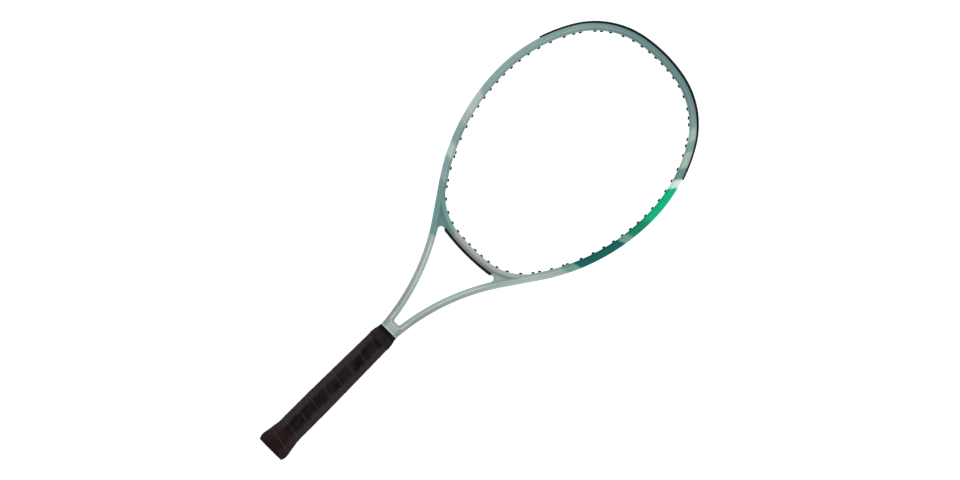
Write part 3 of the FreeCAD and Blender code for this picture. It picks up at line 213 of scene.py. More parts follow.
def head_edge():
    """Half of the head opening's lower end: bridge, corner and the arm's straight run."""
    arm = hoop_side(ARM_WIDTH, HEAD_WIDTH)[2]
    along = Vector((math.cos(arm.heading), math.sin(arm.heading)))
    base = arm.start - left_of(arm.heading) * HEAD_CORNER_RADIUS
    offset = base - BRIDGE_CENTRE
    half = offset.dot(along)
    span = BRIDGE_RADIUS - HEAD_CORNER_RADIUS
    centre = base + along * (-half - math.sqrt(half ** 2 - offset.length_squared + span ** 2))
    on_arm = centre + left_of(arm.heading) * HEAD_CORNER_RADIUS
    on_bridge = BRIDGE_CENTRE + (centre - BRIDGE_CENTRE).normalized() * BRIDGE_RADIUS
    return [
        arc_from_axis(BRIDGE_RADIUS, on_bridge),
        arc_between(centre, HEAD_CORNER_RADIUS, on_bridge, on_arm),
        Straight(on_arm, arm.end),
    ]


def throat_edge():
    """Half of the throat opening: apex, its corner, the arm, and the corner at the bridge."""
    flare_radius = FLARE_RADIUS + ARM_WIDTH
    apex_x = APEX + APEX_CORNER_RADIUS
    drop = math.sqrt((flare_radius + APEX_CORNER_RADIUS) ** 2 - (apex_x - FLARE.x) ** 2)
    apex_centre = Vector((apex_x, FLARE.y - drop))
    apex_end = apex_centre - Vector((APEX_CORNER_RADIUS, 0))
    on_flare = FLARE + (apex_centre - FLARE).normalized() * flare_radius
    lower_edge = BRIDGE_RADIUS + BRIDGE_WIDTH
    corner = circle_meeting(FLARE, flare_radius + THROAT_CORNER_RADIUS,
                            BRIDGE_CENTRE, lower_edge + THROAT_CORNER_RADIUS, further=False)
    flare_end = FLARE + (corner - FLARE).normalized() * flare_radius
    on_bridge = BRIDGE_CENTRE + (corner - BRIDGE_CENTRE).normalized() * lower_edge
    return [
        Straight(Vector((APEX, 0)), apex_end),
        arc_between(apex_centre, APEX_CORNER_RADIUS, apex_end, on_flare),
        arc_between(FLARE, flare_radius, on_flare, flare_end, turn=-1),
        arc_between(corner, THROAT_CORNER_RADIUS, flare_end, on_bridge),
    ]


def smooth_step(value, low, high):
    """0 below low, 1 above high, and an even S between them."""
    share = min(1.0, max(0.0, (value - low) / (high - low)))
    return share * share * (3 - 2 * share)


def width_at(x):
    """Width of the tube in plan, which grows from the arms into the head."""
    return ARM_WIDTH + (HEAD_WIDTH - ARM_WIDTH) * smooth_step(x, WIDER_FROM, WIDER_TO)


# ---------------------------------------------------------------- sweeping a section


class Station:
    """A place on a swept edge: the point, the way into the tube and the run so far."""

    def __init__(self, point, into, run):
        self.point = point
        self.into = into
        self.run = run

    def mirrored(self):
        return Station(Vector((self.point.x, -self.point.y)),
                       Vector((self.into.x, -self.into.y)), -self.run)


FINEST_BEND = math.radians(3)   # most that an edge turns between two stations
HOOP_STEP = 2.4 * MM            # spacing of the stations along each edge
BRIDGE_STEP = 1.5 * MM
RIM_STEP = 0.8 * MM
SHARP = math.radians(34)        # edges that bend more than this stay sharp


def stations_along(stretches, step):
    """Stations along a chain with the tube on its left, closer where it bends hard."""
    found = []
    run = 0.0
    for stretch in stretches:
        count = max(2, math.ceil(stretch.length / step))
        if isinstance(stretch, Arc):
            count = max(count, math.ceil(stretch.length / stretch.radius / FINEST_BEND))
        for number in range(count):
            point, heading = stretch.at(number / count)
            found.append(Station(point, left_of(heading), run + stretch.length * number / count))
        run += stretch.length
    point, heading = stretches[-1].at(1.0)
    found.append(Station(point, left_of(heading), run))
    return found


def both_sides(half):
    """A half chain that starts on the axis, joined to its mirror image."""
    return [station.mirrored() for station in reversed(half[1:])] + half


def new_mesh_object(name, vertices, faces):
    """A smooth piece that rides on the one body, with its hard bends kept sharp."""
    mesh = bpy.data.meshes.new(name)
    mesh.from_pydata(vertices, [], faces)
    work = bmesh.new()
    work.from_mesh(mesh)
    bmesh.ops.recalc_face_normals(work, faces=work.faces)
    work.to_mesh(mesh)
    work.free()
    for polygon in mesh.polygons:
        polygon.use_smooth = True
    mesh.set_sharp_from_angle(angle=SHARP)
    made = bpy.data.objects.new(name, mesh)
    bpy.context.scene.collection.objects.link(made)
    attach(made, "root")
    return made


def add_values(made, name, numbers):
    """One number per vertex, for the materials to read."""
    made.data.attributes.new(name, "FLOAT", "POINT").data.foreach_set("value", numbers)


def loft_faces(rings, size, base=0):
    """Faces of a closed tube of rings that starts at vertex base, with both ends closed."""
    faces = []
    for row in range(rings - 1):
        for column in range(size):
            following = (column + 1) % size
            faces.append((base + row * size + column, base + row * size + following,
                          base + (row + 1) * size + following, base + (row + 1) * size + column))
    last = base + (rings - 1) * size
    return faces + [tuple(range(base, base + size)), tuple(range(last, last + size))]


def sweep(name, stations, section):
    """Closed tube through stations. section gives (depth, height, share across) points."""
    vertices, runs, shares = [], [], []
    for station in stations:
        ring = section(station)
        for depth, height, share in ring:
            plan = station.point + station.into * depth
            vertices.append((plan.x, plan.y, height))
            runs.append(station.run)
            shares.append(share)
    made = new_mesh_object(name, vertices, loft_faces(len(stations), len(ring)))
    add_values(made, "station", runs)
    add_values(made, "across", shares)
    return made


def closed_ring(upper):
    """Upper half of a section, outside first, closed by its mirror image below."""
    return upper + [(depth, -height, share) for depth, height, share in reversed(upper)]


def closed_loop(upper):
    """The same for points given as (share, height)."""
    return upper + [(share, -height) for share, height in reversed(upper)]


# Upper half of the tube's section as (share of the width, height): a steep outer facet,
# a fine line, the ridge, a gentler inner facet and the inside wall.
OUTER_WALL = ((0.0, 3.4), (0.0, 6.0), (0.018, 6.6), (0.05, 7.0))
OUTER_FACET = ((0.10, 7.4), (0.28, 8.85), (0.44, 10.1), (0.475, 10.3))
RIDGE_LINE = ((0.492, 10.28), (0.508, 10.42))
RIDGE = ((0.53, 10.78), (0.56, 10.95), (0.60, 11.0), (0.64, 10.95), (0.675, 10.8))
INNER_FACET = ((0.71, 10.6), (0.80, 10.1), (0.90, 9.5))
INNER_WALL = ((0.945, 9.1), (0.98, 8.5), (1.0, 7.7), (1.0, 3.4))
TUBE_SECTION = OUTER_WALL + OUTER_FACET + RIDGE_LINE + RIDGE + INNER_FACET + INNER_WALL
BRIDGE_OUTSIDE = ((0.0, 3.4), (0.0, 6.6), (0.018, 7.4), (0.05, 8.1),
                  (0.10, 8.7), (0.28, 9.45), (0.44, 10.15), (0.475, 10.3))
BRIDGE_RING = BRIDGE_OUTSIDE + RIDGE_LINE + RIDGE + INNER_FACET + INNER_WALL
CREST_FROM = 0.49       # share across where the crest starts
GROOVE_HALF = 2.5 * MM
GROOVE_FLOOR = 0.98     # shares of the half width at the groove's floor and at its mouth
GROOVE_MOUTH = 1.06
GROOVE_DEPTH = 1.6 * MM
GROOVE_FROM = TIP - 343.4 * MM
GROOVE_RUN_IN = 1.2 * MM
SHAFT_SINK = 0.45 * MM      # the ridges lie lower under the shaft panel
SHAFT_SINK_ENDS = (206 * MM, 217 * MM)
APEX_SINK = 0.25 * MM       # and next to the apex rim
APEX_SINK_IN = (217 * MM, 222 * MM)
APEX_SINK_OUT = (222 * MM, 231 * MM)
SEAT_HEIGHT = HALF_BEAM - 1.0 * MM      # the legs are thinner under the pallets
SEAT_END = 188 * MM


def tube_section(station):
    """The hairpin's ring at a station."""
    x = station.point.x
    width = width_at(x)
    groove = GROOVE_DEPTH * smooth_step(x, GROOVE_FROM, GROOVE_FROM + GROOVE_RUN_IN)
    sunk = SHAFT_SINK * (1 - smooth_step(x, *SHAFT_SINK_ENDS))
    sunk += APEX_SINK * smooth_step(x, *APEX_SINK_IN) * (1 - smooth_step(x, *APEX_SINK_OUT))
    scale = SEAT_HEIGHT / HALF_BEAM if x < SEAT_END else 1.0
    upper = [(groove, GROOVE_HALF * GROOVE_FLOOR, 0.0), (groove, GROOVE_HALF, 0.0),
             (0.0, GROOVE_HALF * GROOVE_MOUTH, 0.0)]
    for share, height in TUBE_SECTION:
        drop = sunk if share > CREST_FROM else 0.0
        upper.append((share * width, (height * MM - drop) * scale, share))
    return closed_ring(upper)


BRIDGE_BURIED_FROM = 366 * MM       # stations between which the bridge's end goes into the hoop
BRIDGE_BURIED_TO = 380 * MM
BRIDGE_SINK = 0.1 * MM              # how far the bridge lies below the hoop's crest
BRIDGE_END_SINK = 0.9 * MM          # and how much further at its ends
BRIDGE_END_NARROWER = 4.5 * MM


def bridge_section(station):
    """The bridge's ring: its inner side lies on the head opening's edge."""
    x = station.point.x
    buried = smooth_step(x, BRIDGE_BURIED_FROM, BRIDGE_BURIED_TO)
    sunk = BRIDGE_SINK + BRIDGE_END_SINK * buried
    start = sunk * 0.5
    width = BRIDGE_WIDTH - BRIDGE_END_NARROWER * buried
    upper = []
    for share, height in reversed(BRIDGE_RING):
        depth = (1 - share) * (width - start) + start
        upper.append((depth, height * MM - sunk, share))
    return closed_ring(upper)


RIM_WIDTH = 6.2 * MM
RIM_FROM = 0.5              # share across the tube's section where the rim starts
RIM_SHOULDER = (0.85, 10.45 * MM, 0.46)     # share of the rim's width, height, share across
RIM_FOOT = (1.0, 9.6 * MM, 0.44)
RIM_RUN = 16 * MM           # how far the rim runs up each arm
RIM_SINK = 0.3 * MM         # and how far it goes down into them
RIM_SINK_ENDS = (221 * MM, 231 * MM)


def rim_section(station):
    """Ring of the raised rim round the apex of the throat."""
    x = station.point.x
    sunk = RIM_SINK * smooth_step(x, *RIM_SINK_ENDS)
    upper = []
    for share, height in reversed(TUBE_SECTION):
        if share > RIM_FROM:
            upper.append(((1 - share) * ARM_WIDTH + sunk * 0.3, height * MM - sunk, share))
    for (depth, height, share), drop in ((RIM_SHOULDER, sunk), (RIM_FOOT, 0.0)):
        upper.append((RIM_WIDTH * depth, height - drop, share))
    return closed_ring(upper)


def hoop_stations():
    """Stations along half of the frame's outline, from the tip to the butt."""
    return stations_along(list(reversed_chain(hoop_side())), HOOP_STEP)


def make_tube():
    """The hairpin: head, arms and legs in one tube."""
    made = sweep("painted_hairpin", both_sides(hoop_stations()), tube_section)
    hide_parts("frame_tube")
    return made


def reversed_chain(stretches):
    """The same chain travelled the other way."""
    for stretch in reversed(stretches):
        if isinstance(stretch, Straight):
            yield Straight(stretch.end, stretch.start)
        else:
            yield Arc(stretch.centre, stretch.radius, -stretch.turn,
                      stretch.heading_to + math.pi, stretch.heading_from + math.pi)


def make_bridge():
    """The bridge between head and throat, with its ends inside the hoop."""
    half = stations_along(head_edge()[:2], BRIDGE_STEP)
    made = sweep("painted_bridge", both_sides(half), bridge_section)
    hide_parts("throat_bridge")
    return made


LIP_SECTION = ((-0.2, 7.3), (0.1, 7.75), (0.5, 7.95), (1.1, 8.2), (1.45, 8.15), (1.5, 7.5))
LIP_UNDER = ((1.5, 6.0), (-0.2, 6.0))
LIP_RUN = 165 * MM          # tip to the ends of the guard, along the hoop
LIP_FULL_RUN = 0.3 * LIP_RUN
LIP_NARROWING = 0.75        # share of its width that the lip loses on the way
THROAT_LIP_SECTION = ((-0.3, 6.3), (-0.3, 7.4), (0.2, 8.4), (0.7, 8.85),
                      (1.15, 9.1), (1.3, 8.9), (1.3, 6.3))
THROAT_LIP_HALF_SPAN = 38.5 * MM


def lips(name, places, section):
    """A pair of lips, above and below, along (point, way in, share of the width) places."""
    vertices, faces = [], []
    for sign in (1, -1):
        base = len(vertices)
        for point, inwards, width in places:
            for depth, height in section:
                plan = point + inwards * (depth * width * MM)
                vertices.append((plan.x, plan.y, sign * height * MM))
        faces += loft_faces(len(places), len(section), base)
    return new_mesh_object(name, vertices, faces)


def make_guard_lips():
    """Lips of the bumper guard that lap on to the hoop's bevels and narrow to its ends."""
    half = [station for station in hoop_stations() if station.run < LIP_RUN]
    places = [(station.point, station.into,
               1 - LIP_NARROWING * smooth_step(abs(station.run), LIP_FULL_RUN, LIP_RUN))
              for station in both_sides(half)]
    return lips("guard_lips", places, LIP_SECTION + LIP_UNDER)


def make_throat_lips():
    """Edges of the throat strip that lap on to the bridge's facet."""
    end = Vector((BRIDGE_TOP, THROAT_LIP_HALF_SPAN))
    outside = arc_from_axis(BRIDGE_RADIUS + BRIDGE_WIDTH, end)
    places = [(station.point, (BRIDGE_CENTRE - station.point).normalized(), 1.0)
              for station in both_sides(stations_along([outside], BRIDGE_STEP))]
    return lips("throat_strip_lips", places, THROAT_LIP_SECTION)


def make_apex_rim():
    """Raised rim round the apex, which runs a little way up both arms."""
    edge = throat_edge()[:3]
    flare = edge[2]
    share = RIM_RUN / flare.length
    edge[2] = Arc(flare.centre, flare.radius, flare.turn, flare.heading_from,
                  flare.heading_from + (flare.heading_to - flare.heading_from) * share)
    return sweep("painted_apex_rim", both_sides(stations_along(edge, RIM_STEP)), rim_section)


def outside_y(x):
    """Half width of the frame's outline at a station of the shaft or the flare."""
    if x <= FLARE.x:
        return SHAFT_HALF_WIDTH
    return FLARE.y - math.sqrt(FLARE_RADIUS ** 2 - (x - FLARE.x) ** 2)


# Upper half of the panel's section as (share of the reach, height), from its edge inwards.
PANEL_SECTION = ((1.0, 9.6), (0.985, 10.35), (0.955, 10.6), (0.91, 10.7), (0.8, 10.72),
                 (0.4, 10.72))
PANEL_FROM = 186 * MM
PANEL_TO = APEX - 1.0 * MM
PANEL_STEPS = 24
PANEL_END = 2 * MM              # the last stretch, which lies a little lower
PANEL_END_SCALE = 0.985
PANEL_EDGE = 0.49               # share across the leg where the panel's edge lies


def make_shaft_panel():
    """The flat between the ridges of the two legs, above and below."""
    vertices = []
    across = [(-share, height) for share, height in reversed(PANEL_SECTION)]
    loop = closed_loop(list(PANEL_SECTION) + across)
    for number in range(PANEL_STEPS + 1):
        x = PANEL_FROM + (PANEL_TO - PANEL_FROM) * number / PANEL_STEPS
        reach = outside_y(x) - PANEL_EDGE * ARM_WIDTH
        scale = PANEL_END_SCALE if x > PANEL_TO - PANEL_END else 1.0
        vertices += [(x, share * reach, height * MM * scale) for share, height in loop]
    faces = loft_faces(PANEL_STEPS + 1, len(loop))
    made = new_mesh_object("painted_shaft_panel", vertices, faces)
    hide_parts("throat_wedge")
    return made


WEB_HEIGHTS = (7.4, 8.2, 8.7, 8.9, 9.0)     # from the throat's edge inwards
WEB_SHARES = (0.0, 0.04, 0.1, 0.2, 1.0)
WEB_INSIDE = Vector((357.5 * MM, 61.5 * MM))    # under the arm and under the bridge
WEB_STEPS = 8
WEB_ARM_SPAN = (0.96, 0.995)        # shares of the arm and of the bridge that a web meets
WEB_BRIDGE_SPAN = (0.98, 0.85)


def make_corner_webs():
    """Rounded webs that close the two corners between bridge and arms."""
    arm, corner = throat_edge()[2:]
    bridge = arc_from_axis(BRIDGE_RADIUS + BRIDGE_WIDTH, corner.end)
    rim = []
    spans = ((arm, WEB_ARM_SPAN), (corner, (0.0, 1.0)), (bridge, WEB_BRIDGE_SPAN))
    for stretch, (first, last) in spans:
        rim += [stretch.at(first + (last - first) * number / WEB_STEPS)[0]
                for number in range(WEB_STEPS + 1)]
    loop = closed_loop(list(zip(WEB_SHARES, WEB_HEIGHTS)))
    webs = []
    for name, flip in (("left", 1), ("right", -1)):
        vertices = []
        for point in rim:
            for share, height in loop:
                place = point.lerp(WEB_INSIDE, share)
                vertices.append((place.x, place.y * flip, height * MM))
        made = new_mesh_object(f"painted_web_{name}", vertices, loft_faces(len(rim), len(loop)))
        add_values(made, "across", [share for share, height in loop] * len(rim))
        webs.append(made)
    return webs


# ---------------------------------------------------------------- wound grip

GRIP_PITCH = 20.5 * MM
GRIP_ROWS = 420
GRIP_COLUMNS = 120
CORNER_POWER = 26           # the higher, the sharper the octagon's corners
LAP_HEIGHT = 0.22 * MM      # a turn lies on the one before it
LAP_SHARE = 0.34
SEAM_DEPTH = 0.20 * MM
SEAM_SHARE = 0.03
TURN_CROWN = 0.06 * MM
GRIP_SUNK = 0.34 * MM       # keeps the turns within the solid
GRIP_SECTIONS = (
    # station, half width, half depth, bevel along Y, bevel along Z
    (5.0, 20.5, 18.4, 8.0, 7.2),
    (8.0, 20.8, 18.7, 8.0, 7.2),
    (16.0, 19.3, 17.2, 8.0, 7.2),
    (32.0, 17.0, 14.9, 8.0, 7.2),
    (82.0, 17.0, 14.9, 8.0, 7.2),
    (188.0, 15.2, 14.0, 4.4, 3.8),
    (195.0, 14.35, 13.3, 3.4, 3.4),
)


def grip_size(x):
    """Half sizes and bevels of the grip's outside at a station."""
    for low, high in zip(GRIP_SECTIONS, GRIP_SECTIONS[1:]):
        if x <= high[0] * MM or high is GRIP_SECTIONS[-1]:
            share = min(1.0, max(0.0, (x / MM - low[0]) / (high[0] - low[0])))
            return [(a + (b - a) * share) * MM for a, b in zip(low[1:], high[1:])]


def octagon_radius(angle, half_width, half_depth, bevel_y, bevel_z):
    """Distance to an octagon's outside with softened corners, by a blend of its faces."""
    c, s = abs(math.cos(angle)), abs(math.sin(angle))
    normal = Vector((bevel_z, bevel_y)).normalized()
    bevel_at = half_width * normal.x + (half_depth - bevel_z) * normal.y
    terms = (c / half_width, s / half_depth, (c * normal.x + s * normal.y) / bevel_at)
    return sum(term ** CORNER_POWER for term in terms) ** (-1 / CORNER_POWER)


def turn_share(x, angle):
    """How far across a turn of the strip a place lies, from its lap on."""
    return (x / GRIP_PITCH + angle / (2 * math.pi)) % 1.0


def turn_relief(share):
    """Height of the overlapping turns of the strip above the octagon."""
    lap = LAP_HEIGHT * (1 - smooth_step(share, 0.0, LAP_SHARE))
    seam = -SEAM_DEPTH * math.exp(-(min(share, 1 - share) / SEAM_SHARE) ** 2)
    crown = TURN_CROWN * math.sin(math.pi * share)
    return lap + seam + crown - GRIP_SUNK


def make_grip():
    """The eight-sided grip with the turns of its strip."""
    first, last = GRIP_BOX[0].x, GRIP_BOX[1].x
    vertices, turns, rounds = [], [], []
    for row in range(GRIP_ROWS + 1):
        x = first + (last - first) * row / GRIP_ROWS
        sizes = grip_size(x)
        for column in range(GRIP_COLUMNS):
            angle = 2 * math.pi * column / GRIP_COLUMNS
            share = turn_share(x, angle)
            radius = octagon_radius(angle, *sizes) + turn_relief(share)
            vertices.append((x, radius * math.cos(angle), radius * math.sin(angle)))
            turns.append(share)
            rounds.append(angle / (2 * math.pi))
    made = new_mesh_object("wound_grip", vertices, loft_faces(GRIP_ROWS + 1, GRIP_COLUMNS))
    add_values(made, "turn", turns)
    add_values(made, "round", rounds)
    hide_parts("base_grip")
    return made


# ---------------------------------------------------------------- materials

DOUBLE = (2.0, 2.0, 2.0, 1.0)
NO_PAINTED_LIGHT = (0.5, 0.5, 0.5, 1.0)      # painted light of 1, which leaves the colour as it is


class Tree:
    """Small helper that adds nodes to the tree of a material or a world and links them."""

    def __init__(self, owner, output="OutputMaterial"):
        self.nodes = owner.node_tree.nodes
        self.links = owner.node_tree.links
        self.nodes.clear()
        self.output = self.add(output)

    def add(self, kind, settings=None, **inputs):
        made = self.nodes.new("ShaderNode" + kind)
        for name, setting in (settings or {}).items():
            setattr(made, name, setting)
        for name, source in inputs.items():
            self.feed(made, name.replace("_", " "), source)
        return made

    def feed(self, node, name, source):
        """Set an input, found by its name or its number, to a value or a socket."""
        by_number = name[0] == "i" and name[1:].isdigit()
        socket = node.inputs[int(name[1:]) if by_number else name]
        if isinstance(source, bpy.types.NodeSocket):
            self.links.new(source, socket)
        else:
            socket.default_value = source

    def math(self, operation, first, second=0.0):
        return self.add("Math", {"operation": operation}, i0=first, i1=second).outputs[0]

    def mix(self, share, first, second, blend="MIX"):
        made = self.add("Mix", {"data_type": "RGBA", "blend_type": blend},
                        i0=share, i6=first, i7=second)
        return made.outputs[2]

    def shaded(self, base, value):
        """A colour times a number."""
        grey = self.add("CombineColor", Red=value, Green=value, Blue=value).outputs[0]
        return self.mix(1.0, base, grey, "MULTIPLY")

    def with_painted_light(self, base, tint):
        """A colour times painted highlight and shade, which holds half of the real value."""
        return self.mix(1.0, base, self.mix(1.0, tint, DOUBLE, "MULTIPLY"), "MULTIPLY")

    def value(self, name):
        return self.add("Attribute", {"attribute_name": name}).outputs["Fac"]

    def place(self):
        return self.add("TexCoord").outputs["Object"]

    def along(self):
        """Distance from the butt end."""
        return self.add("SeparateXYZ", Vector=self.place()).outputs["X"]

    def noise(self, scale, detail=2.0, roughness=0.5):
        return self.add("TexNoise", Vector=self.place(), Scale=scale,
                        Detail=detail, Roughness=roughness).outputs["Fac"]

    def between(self, source, low, high, to_low=0.0, to_high=1.0):
        made = self.add("MapRange", {"clamp": True}, Value=source, From_Min=low,
                        From_Max=high, To_Min=to_low, To_Max=to_high)
        return made.outputs[0]

    def ramp(self, source, stops):
        made = self.add("ValToRGB", Fac=source)
        band = made.color_ramp
        while len(band.elements) > 1:
            band.elements.remove(band.elements[-1])
        band.elements[0].position, band.elements[0].color = stops[0][0], stops[0][1]
        for position, colour in stops[1:]:
            band.elements.new(position).color = colour
        return made.outputs["Color"]

    def bump(self, height, strength, distance):
        made = self.add("Bump", Height=height, Strength=strength, Distance=distance)
        return made.outputs["Normal"]

    def finish(self, shader):
        self.links.new(shader.outputs[0], self.output.inputs["Surface"])


def colour(red, green, blue):
    """Linear colour from red, green and blue of 0 to 255 as a screen shows them."""
    linear = []
    for part in (red, green, blue):
        share = part / 255
        linear.append(share / 12.92 if share <= 0.04045 else ((share + 0.055) / 1.055) ** 2.4)
    return (*linear, 1.0)


def new_material(name):
    """An empty material and the helper for its nodes."""
    made = bpy.data.materials.new(name)
    made.use_nodes = True
    return made, Tree(made)


TEAL_GREY = colour(104, 139, 137)
TEAL_SIDE = colour(132, 161, 158)
TEAL_MID = colour(124, 158, 156)
TEAL_DEEP = colour(106, 144, 140)
SAGE = colour(157, 174, 167)
SAGE_PATCH = colour(173, 191, 185)
SAGE_GREEN = colour(161, 189, 176)
SAGE_LIGHT = colour(164, 183, 177)
ARM_SAGE = colour(148, 163, 157)
ARM_PALE = colour(156, 169, 165)
ARM_DIM = colour(136, 149, 145)
WHITE_BAND = colour(212, 232, 229)
EMERALD = colour(10, 182, 133)
EMERALD_DARK = colour(17, 136, 103)
GAP_GREEN = colour(103, 152, 138)
DARK_TEAL = colour(20, 97, 91)
SILVER = colour(196, 206, 202)
BRIDGE_SAGE = colour(150, 160, 154)
SHAFT_SAGE = colour(148, 165, 158)
# Darker colours of the two webs: painted shade of the hollow between the tubes.
WEB_SHADED_TEAL = colour(84, 122, 118)
WEB_SHADED_SAGE = colour(138, 158, 150)
RUN_LENGTH = 800 * MM       # what a ramp's whole width stands for
SLANT = 7 * MM              # how far the colour bands lean across the tube
ARM_SLANT = 3.3 * MM        # and how far in the arms
SLANT_FADE = 20 * MM        # how long one gives way to the other
HOOP_WOBBLE = 1.2 * MM      # how unevenly the bands' edges run
BRIDGE_WOBBLE = 1.5 * MM

LEFT_BANDS = (
    (0, TEAL_GREY), (40, TEAL_GREY), (120, TEAL_SIDE), (262, TEAL_SIDE),
    (268, SAGE_PATCH), (290, SAGE_PATCH), (300, SAGE), (308, SAGE), (313, TEAL_MID),
    (336, TEAL_MID), (341, SAGE_PATCH), (353, SAGE_PATCH), (357, TEAL_MID),
    (369, TEAL_MID), (373, TEAL_SIDE), (384, TEAL_SIDE), (387, TEAL_DEEP), (454.2, TEAL_DEEP),
    (455.7, ARM_PALE), (505, ARM_PALE), (555, ARM_DIM), (800, ARM_DIM),
)
RIGHT_BANDS = (
    (0, TEAL_GREY), (60, TEAL_GREY), (98, TEAL_SIDE), (101, SAGE_GREEN), (113, SAGE_GREEN),
    (117, TEAL_MID), (128, TEAL_MID), (131, SAGE_GREEN), (149, SAGE_GREEN), (153, TEAL_GREY),
    (167, TEAL_GREY), (169, WHITE_BAND), (178.5, WHITE_BAND), (179.5, EMERALD),
    (226, EMERALD), (236, EMERALD_DARK), (259, EMERALD_DARK), (260.5, GAP_GREEN),
    (273, GAP_GREEN), (274.5, DARK_TEAL), (335.5, DARK_TEAL), (337, GAP_GREEN),
    (352, GAP_GREEN), (354, SAGE), (385, SAGE_LIGHT), (415, SAGE_LIGHT), (440, SAGE),
    (520, ARM_SAGE), (560, ARM_DIM), (800, ARM_DIM),
)
# Painted highlight and shade of each facet, from the outside to the inside, as a share of the
# band's own colour. In the head the inner facet is the darker one. In the arms the crest and all
# inside it are lit.
HEAD_FACET_LIGHT = ((0.0, 1.12), (0.10, 1.10), (0.34, 1.0), (0.49, 0.92), (0.53, 1.10), (0.66, 1.06),
               (0.70, 0.80), (0.90, 0.84), (1.0, 0.95))
ARM_FACET_LIGHT = ((0.0, 1.0), (0.10, 0.97), (0.34, 0.93), (0.48, 0.98), (0.51, 1.62), (0.60, 1.55),
              (0.66, 1.28), (0.72, 1.20), (0.90, 1.22), (1.0, 1.05))
RIM_FACET_LIGHT = ((0.0, 0.98), (0.46, 1.0), (0.51, 1.55), (0.62, 1.5), (0.70, 0.92), (0.88, 0.86),
              (1.0, 1.1))
BRIDGE_FACET_LIGHT = ((0.0, 0.60), (0.10, 0.64), (0.36, 0.72), (0.49, 0.78), (0.53, 1.02),
                 (0.66, 1.12), (0.70, 1.22), (0.90, 1.28), (1.0, 1.3))
WEB_FOLD_SHADE = ((0.0, 1.06), (0.10, 1.04), (0.45, 0.86), (0.75, 0.68), (1.0, 0.62))
FACETS_FROM = 440 * MM      # stations between which the head's painted highlight and shade give way to the arms'
FACETS_TO = 470 * MM
SHAFT_FADE_FROM = APEX - 3 * MM     # the arms' facets lose their painted highlight and shade towards the shaft
SHAFT_FADE_TO = APEX + 6 * MM
LINE_FROM = TAPE_BOX[1].x - 1 * MM      # pale line next to the tape
LINE_TO = TAPE_BOX[1].x + 1.3 * MM
HOOP_TINT_FROM = 358 * MM       # stations between which the bridge takes the hoop's colour and painted highlight and shade
HOOP_TINT_TO = 376 * MM
TEAL_EDGE = (22 * MM, 25 * MM)          # places along the bridge, + on the left
SHADED_EDGE = (-16 * MM, -28 * MM)


def stops_of(bands):
    """Ramp stops of colour bands given by their millimetres along the hoop."""
    return [(run * MM / RUN_LENGTH, tint) for run, tint in bands]


def painted_light_ramp(tree, across, facets):
    """Grey ramp of painted highlight and shade across the facets. It holds half of each tint, so
    that none is over 1.
    """
    return tree.ramp(across, [(share, (tint / 2, tint / 2, tint / 2, 1.0))
                              for share, tint in facets])


def edge_wobble(tree, most):
    """Slow wobble either way that keeps the edge of a colour band from being ruled."""
    return tree.between(tree.noise(160.0, detail=2.0), 0.0, 1.0, -most, most)


DEEP_RED = 0.01             # red share of the deep colours, which carry little gloss
PALE_RED = 0.10             # and of those that carry the full gloss


def finish_paint(tree, base):
    """Satin lacquer over the colours: fine flakes, a thin clear coat and slight orange peel."""
    flakes = tree.add("TexVoronoi", Vector=tree.place(), Scale=2600.0).outputs["Color"]
    sparkle = tree.add("SeparateColor", Color=flakes).outputs[0]
    light = tree.between(sparkle, 0.0, 1.0, 0.94, 1.06)
    cloud = tree.between(tree.noise(38.0, detail=3.0, roughness=0.55), 0.3, 0.7, 0.95, 1.05)
    grain = tree.math("MULTIPLY", light, cloud)
    base = tree.shaded(base, grain)
    peel = tree.bump(tree.noise(900.0, detail=2.0), strength=0.04, distance=0.0002)
    red = tree.add("SeparateColor", Color=base).outputs[0]
    gloss = tree.between(red, DEEP_RED, PALE_RED, 0.04, 0.2)
    coat = tree.between(red, DEEP_RED, PALE_RED, 0.02, 0.12)
    tree.finish(tree.add("BsdfPrincipled", Base_Color=base, Roughness=0.42, Normal=peel,
                         Specular_IOR_Level=gloss, Coat_Weight=coat, Coat_Roughness=0.2))


def paint_hoop():
    """Lacquer of the hairpin: colour bands that lean across the tube, and painted highlight and
    shade on its facets.
    """
    made, tree = new_material("lacquer_hoop")
    run = tree.value("station")
    across = tree.value("across")
    wobble = edge_wobble(tree, HOOP_WOBBLE)
    along = tree.math("ABSOLUTE", run)
    slant = tree.between(along, FACETS_FROM - SLANT_FADE, FACETS_FROM, SLANT, ARM_SLANT)
    leaned = tree.math("SUBTRACT", along, tree.math("MULTIPLY", across, slant))
    share = tree.math("DIVIDE", tree.math("ADD", leaned, wobble), RUN_LENGTH)
    left = tree.ramp(share, stops_of(LEFT_BANDS))
    right = tree.ramp(share, stops_of(RIGHT_BANDS))
    is_left = tree.math("GREATER_THAN", run, 0.0)
    base = tree.mix(is_left, right, left)
    in_arm = tree.between(along, FACETS_FROM, FACETS_TO)
    tint = tree.mix(in_arm, painted_light_ramp(tree, across, HEAD_FACET_LIGHT),
                    painted_light_ramp(tree, across, ARM_FACET_LIGHT))
    x = tree.along()
    tint = tree.mix(tree.between(x, SHAFT_FADE_TO, SHAFT_FADE_FROM), tint, NO_PAINTED_LIGHT)
    base = tree.with_painted_light(base, tint)
    base = tree.mix(tape_line(tree), base, SILVER)
    finish_paint(tree, base)
    return made


def tape_line(tree):
    """1 on the pale line painted next to the finishing tape."""
    x = tree.along()
    past_tape = tree.math("GREATER_THAN", x, LINE_FROM)
    before_end = tree.math("LESS_THAN", x, LINE_TO)
    return tree.math("MULTIPLY", past_tape, before_end)


